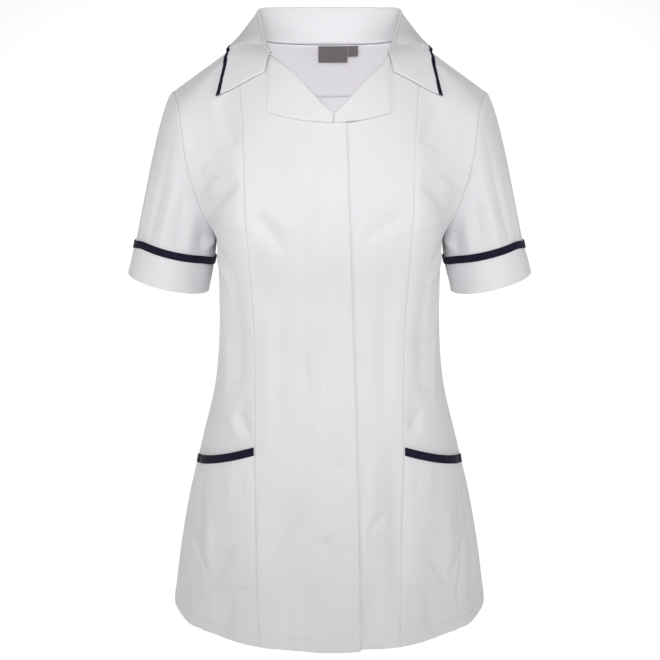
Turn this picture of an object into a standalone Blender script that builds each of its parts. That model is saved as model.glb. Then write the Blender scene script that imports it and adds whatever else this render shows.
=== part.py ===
"""Short-sleeved healthcare tunic, filled out as worn, with no wearer inside.

Metres, +Z up. The front faces -Y and the wearer's right side lies at -X. The origin is the
middle of the neck, at the height where the shoulder seams begin.

Every panel is a patch of one cloth form, and a place on it has two numbers:
around   0 centre front, 1 princess seam, 2 side or armhole, 3 shoulder blade, 4 centre back,
         and the same below zero on the wearer's right side;
station  0 hem, 1 thigh, 2 hip, 3 pocket mouth, 4 high hip, 5 waist, 6 under bust,
         7 underarm, 8 to 13 chest and upper back, 14 shoulder seam.
"""

import math

import bpy
import numpy as np

# Cloth and seams
CLOTH = 0.0015
BINDING = 0.0022
SEAM_GAP = 0.0003
REST_GAP = 0.0004
LAY = CLOTH + 1.6 * REST_GAP
POCKET_REST = CLOTH / 2 + REST_GAP
CHEST_REST = CLOTH / 2 + 2 * REST_GAP

# Stations of the form; a nudge keeps a place on the front side of a seam
HEM = 0
UNDERARM = 7
SHOULDER = 14
NUDGE = 1e-9
SHOULDER_SEAM = 0.012
VENT_TOP = 0.5
VENT_SPREAD = 0.007

# Front opening: the wearer's right front lies over the left one
OVERLAP = 0.025
OVERLAP_START = -0.030
OVERLAP_FULL = -0.012
FLY_TOP = 10.5
UNDER_HEM_RISE = 0.036

# Neck, lapels and collar
ROUND = 2.3
NECK_ACROSS = 0.0777
NECK_BACK = 0.065
NECK_DROP = 0.0065
ROLL_RADIUS = 0.0016
LAPEL_CORNER = (0.0705, -0.0805)
LAPEL_TOP = (0.0702, -0.0182)
LAPEL_FOOT = -0.0915
LAPEL_DIP = 0.0018
LAPEL_REST = (0.040, 0.024)
FOLD_RADIUS = 0.0019
STAND_GAP = 0.0014
SHOULDER_SHARE = 0.6
GORGE_GAP = 0.044
NOTCH = (0.0728, -0.0560, -0.0382)
LEAF_LIFT = 0.0042
LEAF_BOW = 0.0085
COLLAR_BINDING_WIDTH = 0.0045
GORGE_SHARE = 0.26

# Sleeve
SLEEVE_LEAN = math.radians(13.9)
BAND_CENTRE = (0.1934, 0.003, -0.2575)
BAND_RADII = (0.0493, 0.0585)
CUFF_CENTRE = (0.2022, 0.002, -0.2937)
CUFF_RADII = (0.0493, 0.0580)
SLEEVE_HEAD = 0.060
SLEEVE_FALL = 0.085
UNDERARM_TURN = 0.012
UNDERARM_FALL = 0.035
SLEEVE_RUNS = (0, 0.07, 0.17, 0.30, 0.47, 0.65, 0.83, 1.0)
CUFF_SWELL = 0.0012
BAND_WIDTH = 0.0095
BAND_RISE = 0.0082

# Pockets and their bindings
POCKET_BAND = 0.0095
POCKET_PUFF = 0.0034
POCKET_INSET = 0.006
HIP_MOUTH = (-0.4800, -0.5170)
HIP_MOUTH_SAG = 0.003
HIP_FOOT = (-0.6570, -0.6780)
CHEST_MOUTH = (-0.1120, -0.1480)
CHEST_FOOT = (-0.2170, -0.2110)
CHEST_OUTER = 1.80
CHEST_TAPER = 0.16

# Neck facing and labels, inside the back; a label is (left, right, drop)
FACING_FOOT_STATION = 10.9
FACING_TOP_STATION = 13.94
LABEL_CLOTH = 0.0010
MAIN_LABEL = (-0.0139, 0.0226, 0.0215)
SIZE_LABEL = (0.0232, 0.0356, 0.0128)

# Colours
WHITE = (0.86, 0.855, 0.87)
NAVY = (0.012, 0.010, 0.040)
GREY = (0.22, 0.20, 0.21)


def lerp(start, end, share):
    return start + (end - start) * share


def smoothstep(start, end, value):
    share = np.clip((value - start) / (end - start), 0, 1)
    return share * share * (3 - 2 * share)


def unit(vectors):
    return vectors / np.maximum(np.linalg.norm(vectors, axis=-1, keepdims=True), 1e-12)


def stacked(x, y, z):
    return np.stack(np.broadcast_arrays(x, y, z), axis=-1)


class Table:
    """Sizes in named columns, one row a step, read between rows on a smooth curve."""

    def __init__(self, columns, *rows):
        self.columns = columns.split()
        self.rows = np.array(rows, float)

    def __call__(self, column, place):
        values = self.rows[:, self.columns.index(column)]
        last = len(values) - 1
        place = np.clip(np.asarray(place, float) - self.rows[0, 0], 0, last)
        step = np.minimum(place.astype(int), last - 1)
        t = place - step
        before = 2 * values[0] - values[1]
        after = 2 * values[-1] - values[-2]
        padded = np.concatenate([[before], values, [after]])
        a, b, c, d = (padded[step + k] for k in range(4))
        return b + 0.5 * t * (c - a + t * (2 * a - 5 * b + 4 * c - d + t * (3 * (b - c) + d - a)))


FRONT = Table(
    "station centre_z centre_y princess_z princess_x princess_y",
    (0, -0.7315, -0.1410, -0.7315, 0.0875, -0.1273),
    (1, -0.6600, -0.1355, -0.6600, 0.0885, -0.1208),
    (2, -0.5800, -0.1270, -0.5800, 0.0895, -0.1130),
    (3, -0.5000, -0.117, -0.5000, 0.0905, -0.1035),
    (4, -0.4300, -0.109, -0.4300, 0.0905, -0.0925),
    (5, -0.3700, -0.106, -0.3700, 0.0905, -0.0885),
    (6, -0.3050, -0.112, -0.3050, 0.0915, -0.0975),
    (7, -0.2375, -0.127, -0.2375, 0.0945, -0.1145),
    (8, -0.1950, -0.129, -0.1950, 0.0970, -0.1180),
    (9, -0.1500, -0.120, -0.1500, 0.0985, -0.1060),
    (10, -0.1080, -0.104, -0.1080, 0.1005, -0.0855),
    (11, -0.0720, -0.0885, -0.0720, 0.1035, -0.0635),
    (12, -0.0420, -0.0735, -0.0420, 0.1070, -0.0415),
    (13, -0.0170, -0.0520, -0.0180, 0.1100, -0.0185),
    (14, 0.0090, 0.0, -0.0050, 0.1120, 0.0),
)

BACK = Table(
    "station blade_z blade_x blade_y centre_z centre_y",
    (0, -0.7315, 0.1000, 0.1220, -0.7315, 0.1350),
    (1, -0.6600, 0.0980, 0.1200, -0.6600, 0.1340),
    (2, -0.5800, 0.0950, 0.1135, -0.5800, 0.1300),
    (3, -0.5000, 0.0900, 0.0980, -0.5000, 0.1160),
    (4, -0.4300, 0.0860, 0.0800, -0.4300, 0.0960),
    (5, -0.3700, 0.0840, 0.0665, -0.3700, 0.0790),
    (6, -0.3050, 0.0860, 0.0680, -0.3050, 0.0755),
    (7, -0.2375, 0.0910, 0.0825, -0.2375, 0.0865),
    (8, -0.1900, 0.0945, 0.0905, -0.1900, 0.0950),
    (9, -0.1450, 0.0975, 0.0935, -0.1450, 0.1010),
    (10, -0.1040, 0.1005, 0.0885, -0.1050, 0.1025),
    (11, -0.0680, 0.1035, 0.0755, -0.0720, 0.0990),
    (12, -0.0380, 0.1070, 0.0550, -0.0450, 0.0905),
    (13, -0.0150, 0.1100, 0.0290, -0.0240, 0.0790),
    (14, -0.0050, 0.1120, 0.0, -0.0065, 0.0650),
)

# The widest line of the body, and how far the side seam has swung forward of it
SIDE = Table(
    "station side_x side_y seam",
    (0, 0.2080, 0.0300, 1.425),
    (1, 0.1975, 0.016, 1.49),
    (2, 0.1826, 0.004, 1.70),
    (3, 0.1632, 0.000, 1.94),
    (4, 0.1460, 0.000, 2.00),
    (5, 0.1392, 0.000, 2.00),
    (6, 0.1374, 0.004, 2.00),
    (7, 0.1370, 0.008, 2.00),
)

# The armhole, from the underarm up its front and up its back; turn is where a row heads
ARMHOLE = Table(
    "station front_z front_x front_y front_turn back_z back_x back_y back_turn",
    (7, -0.2375, 0.1370, 0.0080, 90, -0.2375, 0.1370, 0.0080, 90),
    (8, -0.2300, 0.1410, -0.0210, 88, -0.2290, 0.1410, 0.0330, 97),
    (9, -0.2060, 0.1510, -0.0470, 64, -0.2040, 0.1490, 0.0530, 115),
    (10, -0.1710, 0.1620, -0.0590, 40, -0.1730, 0.1580, 0.0645, 136),
    (11, -0.1380, 0.1705, -0.0595, 22, -0.1420, 0.1660, 0.0665, 155),
    (12, -0.1060, 0.1750, -0.0520, 10, -0.1110, 0.1730, 0.0590, 170),
    (13, -0.0770, 0.1800, -0.0330, 3, -0.0800, 0.1800, 0.0370, 177),
    (14, -0.0592, 0.1890, 0.0000, 0, -0.0592, 0.1890, 0.0000, 180),
)

# The visible fold of the lapels, by height: its mean distance from the middle, and its
# shift to the wearer's left
ROLL = Table(
    "step height across shift",
    (0, -0.0810, 0.0000, 0.0052),
    (1, -0.0640, 0.0185, 0.0045),
    (2, -0.0440, 0.0365, 0.0052),
    (3, -0.0290, 0.0545, 0.0050),
    (4, -0.0174, 0.0682, 0.0000),
)

# The edge of the upper front, as far as it passes the middle
OPENING = Table(
    "step height across",
    (0, -0.7315, 0.0385),
    (1, -0.5190, 0.0340),
    (2, -0.3060, 0.0270),
    (3, -0.0900, 0.0192),
)

# Collar from the centre back to the notch: its fold, and the edge of its leaf
COLLAR = Table(
    "step fold_x fold_y fold_z edge_x edge_y edge_z",
    (0, 0.0000, 0.0660, 0.0400, 0.0000, 0.0950, -0.0240),
    (1, 0.0300, 0.0650, 0.0400, 0.0440, 0.0930, -0.0240),
    (2, 0.0600, 0.0600, 0.0400, 0.0850, 0.0820, -0.0210),
    (3, 0.0855, 0.0480, 0.0385, 0.1150, 0.0590, -0.0150),
    (4, 0.0832, 0.0280, 0.0255, 0.1240, 0.0270, -0.0105),
    (5, 0.0780, 0.0035, 0.0110, 0.1225, 0.0000, -0.0095),
    (6, 0.0756, -0.0150, 0.0010, 0.1248, -0.0200, -0.0265),
    (7, 0.0730, -0.0330, -0.0060, 0.1288, -0.0350, -0.0460),
    (8, 0.0700, -0.0480, -0.0140, 0.1330, -0.0480, -0.0620),
)

# Soft folds that fall from the hips and the shoulder blades; out is above zero
FOLDS = (
    # around, half width, foot station, head station, out
    (1.30, 0.13, -0.5, 3.0, -0.0030),
    (1.50, 0.11, -0.5, 2.6, 0.0035),
    (0.55, 0.22, 0.3, 2.8, -0.0020),
    (2.35, 0.14, -0.5, 3.4, 0.0045),
    (2.70, 0.14, -0.5, 3.0, -0.0040),
    (3.20, 0.16, -0.5, 3.6, 0.0040),
    (3.62, 0.16, -0.5, 3.2, -0.0035),
)


def station_of(height):
    """The station of a height on the front."""
    places = np.linspace(HEM, SHOULDER, 1401)
    return np.interp(height, FRONT("princess_z", places), places)


def bowed(share, start, start_turn, end, end_turn):
    """A level curve between two points that leaves and arrives at the given turns."""
    chord = np.hypot(end[0] - start[0], end[1] - start[1])
    reach = chord / np.cos((end_turn - start_turn) / 4) ** 2
    t = share
    from_start = 2 * t**3 - 3 * t**2 + 1
    to_end = 3 * t**2 - 2 * t**3
    leaving = (t**3 - 2 * t**2 + t) * reach
    arriving = (t**3 - t**2) * reach
    x = from_start * start[0] + to_end * end[0]
    y = from_start * start[1] + to_end * end[1]
    x = x + leaving * np.cos(start_turn) + arriving * np.cos(end_turn)
    y = y + leaving * np.sin(start_turn) + arriving * np.sin(end_turn)
    return stacked(x, y, lerp(start[2], end[2], t))


def crossing_turn(slope, rising, start, end):
    """The turn at which a sloping row leaves a seam, so that the cloth runs smoothly over it."""
    level = stacked(np.cos(slope), np.sin(slope), 0)
    normal = np.cross(level, rising)
    chord = np.hypot(end[0] - start[0], end[1] - start[1])
    heading = np.arctan2(end[1] - start[1], end[0] - start[0])
    flat = np.hypot(normal[..., 0], normal[..., 1])
    reach = -normal[..., 2] * (end[2] - start[2]) / (chord * flat)
    swing = np.arccos(np.clip(reach, -1, 1))
    facing = np.arctan2(normal[..., 1], normal[..., 0])
    options = np.stack([facing + swing, facing - swing])
    misses = np.abs((options - heading + math.pi) % (2 * math.pi) - math.pi)
    chosen = np.where(misses[0] < misses[1], options[0], options[1])
    return heading + (chosen - heading + math.pi) % (2 * math.pi) - math.pi


def ridge_share(station):
    """How far a row has straightened into the shoulder seam."""
    return smoothstep(12.5, SHOULDER, station)


def princess(station):
    return (
        FRONT("princess_x", station),
        FRONT("princess_y", station),
        FRONT("princess_z", station),
    )


def blade(station):
    return BACK("blade_x", station), BACK("blade_y", station), BACK("blade_z", station)


def side(station, which):
    """The outer end of a row: the side of the body, or the armhole above the underarm."""
    low = station <= UNDERARM
    x = np.where(low, SIDE("side_x", station), ARMHOLE(which + "_x", station))
    y = np.where(low, SIDE("side_y", station), ARMHOLE(which + "_y", station))
    z = np.where(low, FRONT("princess_z", station), ARMHOLE(which + "_z", station))
    turn = np.where(low, 90, ARMHOLE(which + "_turn", station))
    return (x, y, z), np.radians(turn)


def rising(line, station):
    """The direction in which a seam climbs."""
    step = 0.02
    above = stacked(*line(np.minimum(station + step, SHOULDER)))
    below = stacked(*line(np.maximum(station - step, HEM)))
    return unit(above - below)


def front_centre(share, station):
    seam = princess(station)
    middle = FRONT("centre_y", station)
    y = middle + (seam[1] - middle) * np.abs(share) ** ROUND
    z = lerp(FRONT("centre_z", station), seam[2], np.abs(share))
    return stacked(share * seam[0], y, z)


def front_side(share, station):
    start = princess(station)
    end, end_turn = side(station, "front")
    slope = np.arctan(ROUND * (start[1] - FRONT("centre_y", station)) / start[0])
    turn = crossing_turn(slope, rising(princess, station), start, end)
    turn = turn * (1 - ridge_share(station))
    return bowed(share, start, turn, end, end_turn)


def back_side(share, station):
    start, start_turn = side(station, "back")
    end = blade(station)
    slope = math.pi - np.arctan(ROUND * (BACK("centre_y", station) - end[1]) / end[0])
    turn = crossing_turn(slope, rising(blade, station), start, end)
    turn = np.where(turn < 0, turn + 2 * math.pi, turn)
    turn = lerp(turn, math.pi, ridge_share(station))
    return bowed(share, start, start_turn, end, turn)


def back_centre(share, station):
    """From the shoulder blade to the centre back; its top row turns into the neckline."""

    def plain(place):
        outer = blade(place)
        middle = BACK("centre_y", place)
        y = middle - (middle - outer[1]) * out**ROUND
        return stacked(out * outer[0], y, lerp(BACK("centre_z", place), outer[2], out))

    out = 1 - share
    top = np.full_like(station, SHOULDER, dtype=float)
    corner = NECK_ACROSS / BACK("blade_x", SHOULDER)
    angle = np.minimum(out / corner, 1) * math.pi / 2
    beyond = np.clip((out - corner) / (1 - corner), 0, 1)
    neck = stacked(
        lerp(NECK_ACROSS * np.sin(angle), BACK("blade_x", SHOULDER), beyond),
        NECK_BACK * np.cos(angle),
        lerp(-NECK_DROP * np.cos(angle), BACK("blade_z", SHOULDER), beyond),
    )
    weight = smoothstep(11.5, SHOULDER, station)[..., None]
    return plain(station) + weight * (neck - plain(top))


def form(around, station):
    """The middle of the cloth at a place on the form."""
    around, station = np.broadcast_arrays(np.asarray(around, float), np.asarray(station, float))
    size = np.abs(around)
    patches = (front_centre, front_side, back_side, back_centre)
    points = np.zeros(around.shape + (3,))
    for first, patch in enumerate(patches):
        inside = (size >= first) & ((size < first + 1) | (first == 3))
        if inside.any():
            points[inside] = patch(size[inside] - first, station[inside])
    points[..., 0] *= np.where(around < 0, -1, 1)
    return points


def fold_depth(around, station):
    """How far the soft folds move the cloth out."""
    size = np.abs(around)
    depth = np.zeros(np.broadcast(around, station).shape)
    for centre, width, foot, head, out in FOLDS:
        across = np.exp(-(((size - centre) / width) ** 2))
        depth = depth + out * across * (1 - smoothstep(foot, head, station))
    return depth


def skin(around, station, lift=0.0):
    """A point on the cloth, moved out of the form by lift."""
    around, station = np.broadcast_arrays(np.asarray(around, float), np.asarray(station, float))
    flip = np.where(around < 0, -1.0, 1.0)
    size = np.abs(around)
    step = 0.004
    low = np.maximum(size - step, np.floor(np.minimum(size, 3.999)))
    high = np.minimum(size + step, np.floor(np.minimum(size, 3.999)) + 1 - NUDGE)
    across = form(high, station) - form(low, station)
    above = np.minimum(station + step, SHOULDER)
    below = np.maximum(station - step, HEM)
    inward = np.minimum(size, 4 - NUDGE)
    up = form(inward, above) - form(inward, below)
    normal = unit(np.cross(across, up))
    ridge = unit(np.array([0.567, 0.0, 0.823]))
    shoulder = smoothstep(13.0, SHOULDER, station) * smoothstep(3.45, 3.25, size)
    normal = unit(lerp(normal, ridge, shoulder[..., None]))
    out = lift + fold_depth(size, station)
    points = form(size, station) + normal * np.asarray(out)[..., None]
    points[..., 0] *= flip
    return points


def grid_normals(points, ring=False):
    """Normals of a grid of points, from its rows and columns."""
    if ring:
        along = np.roll(points, -1, axis=1) - np.roll(points, 1, axis=1)
    else:
        along = np.gradient(points, axis=1)
    return unit(np.cross(along, np.gradient(points, axis=0)))


def wall_mesh(outer, inner, ring):
    """Points and triangles of the closed wall between two grids of points."""
    rows, columns = outer.shape[:2]
    points = np.concatenate([outer.reshape(-1, 3), inner.reshape(-1, 3)])

    def at(row, column, sheet):
        return int((sheet * rows + row) * columns + column % columns)

    def halves(corners, turned):
        a, b, c, d = corners[::-1] if turned else corners
        return [[b, c, d], [b, d, a]] if turned else [[a, b, c], [a, c, d]]

    spans = range(columns if ring else columns - 1)
    faces = []
    for row in range(rows - 1):
        for column in spans:
            places = [(row, column), (row, column + 1), (row + 1, column + 1), (row + 1, column)]
            for sheet in (0, 1):
                faces += halves([at(*place, sheet) for place in places], sheet == 1)
    for row in (0, rows - 1):
        for column in spans:
            edge = [at(row, column, 0), at(row, column + 1, 0)]
            edge += [at(row, column + 1, 1), at(row, column, 1)]
            faces += halves(edge, row == 0)
    for column in () if ring else (0, columns - 1):
        for row in range(rows - 1):
            edge = [at(row, column, 0), at(row + 1, column, 0)]
            edge += [at(row + 1, column, 1), at(row, column, 1)]
            faces += halves(edge, column > 0)
    row, column = rows // 2, columns // 2
    across = outer[row, column] - outer[row, column - 1]
    rise = outer[row, column] - outer[row - 1, column]
    if np.dot(np.cross(across, rise), outer[row, column] - inner[row, column]) < 0:
        faces = [face[::-1] for face in faces]
    return points, faces


def add_wall(name, outer, inner, material, ring=False):
    """A named object that fills the wall between two grids of points."""
    points, faces = wall_mesh(outer, inner, ring)
    mesh = bpy.data.meshes.new(name)
    mesh.from_pydata(points.tolist(), [], faces)
    mesh.update()
    mesh.shade_smooth()
    mesh.set_sharp_from_angle(angle=math.radians(50))
    mesh.materials.append(material)
    bpy.context.scene.collection.objects.link(bpy.data.objects.new(name, mesh))


def thicken(points, normals, thickness):
    return points + normals * thickness / 2, points - normals * thickness / 2


def add_panel(name, around, station, lift, material):
    """A panel whose middle lies at the places of a grid, moved out by lift."""
    outer = skin(around, station, lift + CLOTH / 2)
    inner = skin(around, station, lift - CLOTH / 2)
    add_wall(name, outer, inner, material)


def cloth_material(name, colour, roughness):
    material = bpy.data.materials.new(name)
    material.use_nodes = True
    shader = material.node_tree.nodes["Principled BSDF"]
    shader.inputs["Base Color"].default_value = (*colour, 1)
    shader.inputs["Roughness"].default_value = roughness
    shader.inputs["Metallic"].default_value = 0
    return material


# Rows of the panels
LOWER_ROWS = np.array([HEM, 0.5, 1.0, 1.7, 2.4, 3.1, 3.8, 4.6, 5.4, 6.2, UNDERARM])
CHEST_ROWS = np.array([7.3, 7.7, 8.2, 8.8, 9.4, 10.0, FLY_TOP])
LAPEL_ROWS = 8
ROLL_ROWS = np.linspace(10.8, 13.35, LAPEL_ROWS)
NECK_ROWS = lerp(ROLL_ROWS[-1], SHOULDER, np.array([1, 2, 3]) / 3)
ROWS = np.concatenate([LOWER_ROWS, CHEST_ROWS, ROLL_ROWS, NECK_ROWS])
ARM_ROWS = ROWS[ROWS >= UNDERARM]
BACK_SIDE_COLUMNS = 6
HALF_NECK_COLUMNS = 8
COLLAR_FRONT_COLUMNS = 6
LEAF_SHARES = (0.13, GORGE_SHARE, 0.42, 0.60, 0.78, 1.0)
FRONT_CENTRE_COLUMNS = 8
FRONT_SIDE_COLUMNS = 9
LAPEL_COLUMNS = 7
HIP_COLUMNS, HIP_ROWS = 8, 8
CHEST_COLUMNS, CHEST_POCKET_ROWS = 7, 7


def opening_across(height):
    step = np.interp(height, OPENING.rows[:, 1], OPENING.rows[:, 0])
    return OPENING("across", step)


def raise_over(across):
    """How far the upper front is lifted where it lies on the lower one."""
    return LAY * smoothstep(OVERLAP_START, OVERLAP_FULL, across)


def front_place(across, height):
    """The place on the form of a point seen from the front, between the princess seams."""
    station = station_of(height)
    return across / FRONT("princess_x", station), station


def lapel_lines(side_sign, rows):
    """The fold and the outer edge of a lapel, seen from the front as (across, height)."""
    steps = np.linspace(0, 4, rows)
    fold = np.stack(
        [
            side_sign * ROLL("across", steps) + ROLL("shift", steps),
            ROLL("height", steps),
        ],
        axis=1,
    )
    corner = np.array([side_sign * LAPEL_CORNER[0], LAPEL_CORNER[1]])
    middle = np.array([ROLL.rows[0, 3], LAPEL_FOOT])
    top = np.array([side_sign * LAPEL_TOP[0], LAPEL_TOP[1]])
    bottom_rows = rows // 2
    edge = []
    for row in range(rows):
        if row <= bottom_rows:
            share = row / bottom_rows
            point = lerp(middle, corner, share)
            point[1] -= LAPEL_DIP * math.sin(math.pi * share)
        else:
            share = (row - bottom_rows) / (rows - 1 - bottom_rows)
            point = lerp(corner, top, share)
        edge.append(point)
    middle_gap = side_sign * SEAM_GAP
    edge[0] = edge[0] + np.array([middle_gap, 0])
    fold[0, 0] += middle_gap
    return fold, np.array(edge)


def lapel_seat(side_sign, rows):
    """Where the front is cut below the lapel's fold, as (across, height) for each row."""
    fold, edge = lapel_lines(side_sign, rows)
    return fold + unit(edge - fold) * (ROLL_RADIUS + SEAM_GAP)


def front_centre_grid(side_sign, columns):
    """Places of a centre front: rows from its opening or lapel to the princess seam."""
    over = side_sign < 0
    inner_around, inner_station = [], []
    seat = lapel_seat(side_sign, LAPEL_ROWS)
    neck = FRONT("princess_x", SHOULDER)
    for row, station in enumerate(ROWS):
        roll_row = row - len(LOWER_ROWS) - len(CHEST_ROWS)
        if roll_row < 0:
            height = FRONT("princess_z", station)
            across = opening_across(height)
            across = across if over else across - OVERLAP
            place = across / FRONT("princess_x", station), station
        elif roll_row < LAPEL_ROWS:
            place = front_place(*seat[roll_row])
        else:
            first = front_place(*seat[-1])
            share = (station - ROLL_ROWS[-1]) / (SHOULDER - ROLL_ROWS[-1])
            last = side_sign * NECK_ACROSS / neck, SHOULDER
            place = lerp(first[0], last[0], share), lerp(first[1], last[1], share)
        inner_around.append(place[0])
        inner_station.append(place[1])
    share = np.linspace(0, 1, columns)[None, :]
    outer_around = side_sign * (1 - 0.5 * SEAM_GAP / 0.09)
    around = lerp(np.array(inner_around)[:, None], outer_around, share)
    station = lerp(np.array(inner_station)[:, None], ROWS[:, None], share)
    if not over:
        station[0] += UNDER_HEM_RISE * (1 - share[0])
    return around, station


def build_front_centre(name, side_sign, material):
    around, station = front_centre_grid(side_sign, FRONT_CENTRE_COLUMNS)
    across = around * FRONT("princess_x", station)
    lift = raise_over(across) if side_sign < 0 else np.zeros_like(across)
    add_panel(name, around, station, lift, material)


def seam_around(station):
    return np.where(station < UNDERARM, SIDE("seam", station), 2.0)


def vent(station):
    return VENT_SPREAD * np.clip(1 - station / VENT_TOP, 0, 1)


def row_length(start, end, station):
    steps = np.linspace(0, 1, 9)[None, :]
    points = form(lerp(start[:, None], end[:, None], steps), station[:, None])
    return np.linalg.norm(np.diff(points, axis=1), axis=2).sum(axis=1)


def build_front_side(name, side_sign, material):
    start = np.full(len(ROWS), 1.0)
    end = seam_around(ROWS) - NUDGE
    trim = 0.5 * SEAM_GAP / row_length(start, end, ROWS) * (end - start)
    end = end - trim - vent(ROWS)
    start = start + trim
    share = np.linspace(0, 1, FRONT_SIDE_COLUMNS)[None, :]
    around = side_sign * lerp(start[:, None], end[:, None], share)
    station = np.repeat(ROWS[:, None], FRONT_SIDE_COLUMNS, axis=1)
    station[-1] -= SHOULDER_SEAM
    add_panel(name, around, station, 0, material)


def neck_columns():
    """Places across the back, from the end of the shoulder seam to the centre back."""
    corner = 4 - NECK_ACROSS / BACK("blade_x", SHOULDER)
    return lerp(corner, 4.0, np.linspace(0, 1, HALF_NECK_COLUMNS + 1))


def both_sides(columns):
    return np.concatenate([columns, -columns[..., -2::-1]], axis=-1)


def build_back(name, material):
    start = seam_around(ROWS)
    length = row_length(start + NUDGE, np.full(len(ROWS), 3.0), ROWS)
    start = start + 0.5 * SEAM_GAP / length * (3 - start) + vent(ROWS)
    middle = np.tile(neck_columns(), (len(ROWS), 1))
    share = np.linspace(0, 1, BACK_SIDE_COLUMNS + 1)[None, :-1]
    outer_part = lerp(start[:, None], middle[:, :1], share)
    around = both_sides(np.concatenate([outer_part, middle], axis=1))
    station = np.repeat(ROWS[:, None], around.shape[1], axis=1)
    station[-1] -= SHOULDER_SEAM
    add_panel(name, around, station, 0, material)


def armhole_loop():
    """The armhole from the shoulder down its front, and up its back: points and out-facing normals."""
    down = ARM_ROWS[::-1]
    up = ARM_ROWS[1:-1]
    front = form(2 - NUDGE, down)
    back = form(np.full(len(up), 2.0), up)
    lifted = skin(2 - NUDGE, down, 1.0), skin(np.full(len(up), 2.0), up, 1.0)
    points = np.concatenate([front, back])
    normals = np.concatenate([lifted[0] - front, lifted[1] - back])
    return points, unit(normals)


def loop_shares(count, lower):
    """How far round from the top each point of a sleeve ring is, and which are in front."""
    index = np.arange(count)
    share = np.where(index <= lower, index / lower, (count - index) / (count - lower))
    return share, index <= lower


def sleeve_rings(runs):
    """Rings of the sleeve from the armhole (run 0) to the band (run 1), on the wearer's left."""
    loop, normals = armhole_loop()
    tangent = unit(np.roll(loop, -1, axis=0) - np.roll(loop, 1, axis=0))
    outward = unit(np.cross(tangent, normals))
    outward *= np.sign(outward[0, 0])
    share, in_front = loop_shares(len(loop), int(np.argmin(loop[:, 2])))
    under = smoothstep(0.60, 0.92, share)[:, None]
    leaving = unit(lerp(outward, np.array([1.0, 0.0, -0.15]), under))
    bend = np.linalg.norm(np.cross(outward, leaving), axis=1, keepdims=True)
    half = CLOTH / 2 * bend
    start = loop + leaving * (SEAM_GAP + half + REST_GAP * under) - outward * half
    axis = np.array([math.sin(SLEEVE_LEAN), 0, -math.cos(SLEEVE_LEAN)])
    end = band_ring(share, in_front, BAND_CENTRE, BAND_RADII, band_rise(share, in_front))
    reach = lerp(SLEEVE_HEAD, UNDERARM_TURN, smoothstep(0.1, 0.85, share))[:, None]
    fall = lerp(SLEEVE_FALL, UNDERARM_FALL, smoothstep(0.1, 0.95, share))[:, None]
    rings = []
    for t in runs:
        ring = (2 * t**3 - 3 * t**2 + 1) * start + (3 * t**2 - 2 * t**3) * end
        ring = ring + (t**3 - 2 * t**2 + t) * reach * leaving + (t**3 - t**2) * fall * axis
        rings.append(ring)
    return np.array(rings), share, in_front


def band_rise(share, in_front):
    """How far the band climbs round the sleeve, for an arm that hangs a little forward."""
    ahead = smoothstep(0, 0.28, share) * (1 - 0.5 * smoothstep(0.72, 1.0, share))
    return BAND_RISE * np.where(in_front, ahead, 0.5 * smoothstep(0.6, 1.0, share))


def band_ring(share, in_front, centre, radii, rise=0.0):
    """A ring round the sleeve's axis; share 0 is its outer side and 1 its inner side."""
    angle = math.pi * share
    up = np.array([-math.sin(SLEEVE_LEAN), 0, math.cos(SLEEVE_LEAN)])
    wide = np.array([math.cos(SLEEVE_LEAN), 0, math.sin(SLEEVE_LEAN)])
    points = np.array(centre) + np.cos(angle)[:, None] * radii[0] * wide
    points[:, 1] += np.where(in_front, -1.0, 1.0) * np.sin(angle) * radii[1]
    return points + np.multiply.outer(rise, up)


def mirrored(points, side_sign):
    return points * np.array([side_sign, 1, 1])


def add_tube(name, rings, away, thickness, side_sign, material):
    """A tube through rings of points; away points out of it all round."""
    normals = grid_normals(rings, ring=True)
    if np.sum(normals[-1] * away) < 0:
        normals = -normals
    outer, inner = thicken(rings, normals, thickness)
    add_wall(name, mirrored(outer, side_sign), mirrored(inner, side_sign), material, ring=True)


def build_sleeve(word, side_sign, cloth, navy):
    rings, share, in_front = sleeve_rings(SLEEVE_RUNS)
    level = band_ring(share, in_front, BAND_CENTRE, BAND_RADII)
    band = band_ring(share, in_front, BAND_CENTRE, BAND_RADII, band_rise(share, in_front))
    hem = band_ring(share, in_front, CUFF_CENTRE, CUFF_RADII)
    radial = unit(level - np.array(BAND_CENTRE))
    add_tube("sleeve_" + word, rings, radial, CLOTH, side_sign, cloth)
    length = np.linalg.norm(hem - band, axis=1).mean()
    runs = np.linspace(SEAM_GAP / length, 1, 4)
    swell = CUFF_SWELL * np.sin(np.pi * np.minimum(runs, 0.5))
    cuff = np.array([lerp(band, hem, run) + radial * out for run, out in zip(runs, swell)])
    add_tube("cuff_" + word, cuff, radial, CLOTH, side_sign, cloth)
    lift = CLOTH / 2 + 3 * REST_GAP + BINDING / 2
    down = unit(hem - band) * BAND_WIDTH
    strip = np.array([band + down * share_down for share_down in (-0.35, 0.15, 0.65)])
    add_tube("cuff_binding_" + word, strip + radial * lift, radial, BINDING, side_sign, navy)


def side_station(around, height):
    """The station at which the side panel reaches a height, for one place around it."""
    stations = np.linspace(HEM, SHOULDER, 281)
    return np.interp(height, form(around, stations)[:, 2], stations)


def pocket_grid(side_sign, top_at, bottom_at, columns, rows, start, end):
    """Places between two slanting lines on the side panel; the lines are heights by share."""
    share = np.linspace(0, 1, columns)[None, :]
    up = np.linspace(0, 1, rows)[:, None]
    height = lerp(bottom_at(share), top_at(share), up)
    rough = station_of(height)
    around = lerp(start(rough), end(rough), share)
    station = np.array(
        [[side_station(a, h) for a, h in zip(*line)] for line in zip(around, height)]
    )
    return side_sign * around, station, share, up


def hip_puff(share, up):
    """How far the bag of a hip pocket stands off its panel."""
    return POCKET_PUFF * np.sin(math.pi * share) ** 0.8 * np.sin(math.pi * lerp(0.09, 0.74, up))


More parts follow.
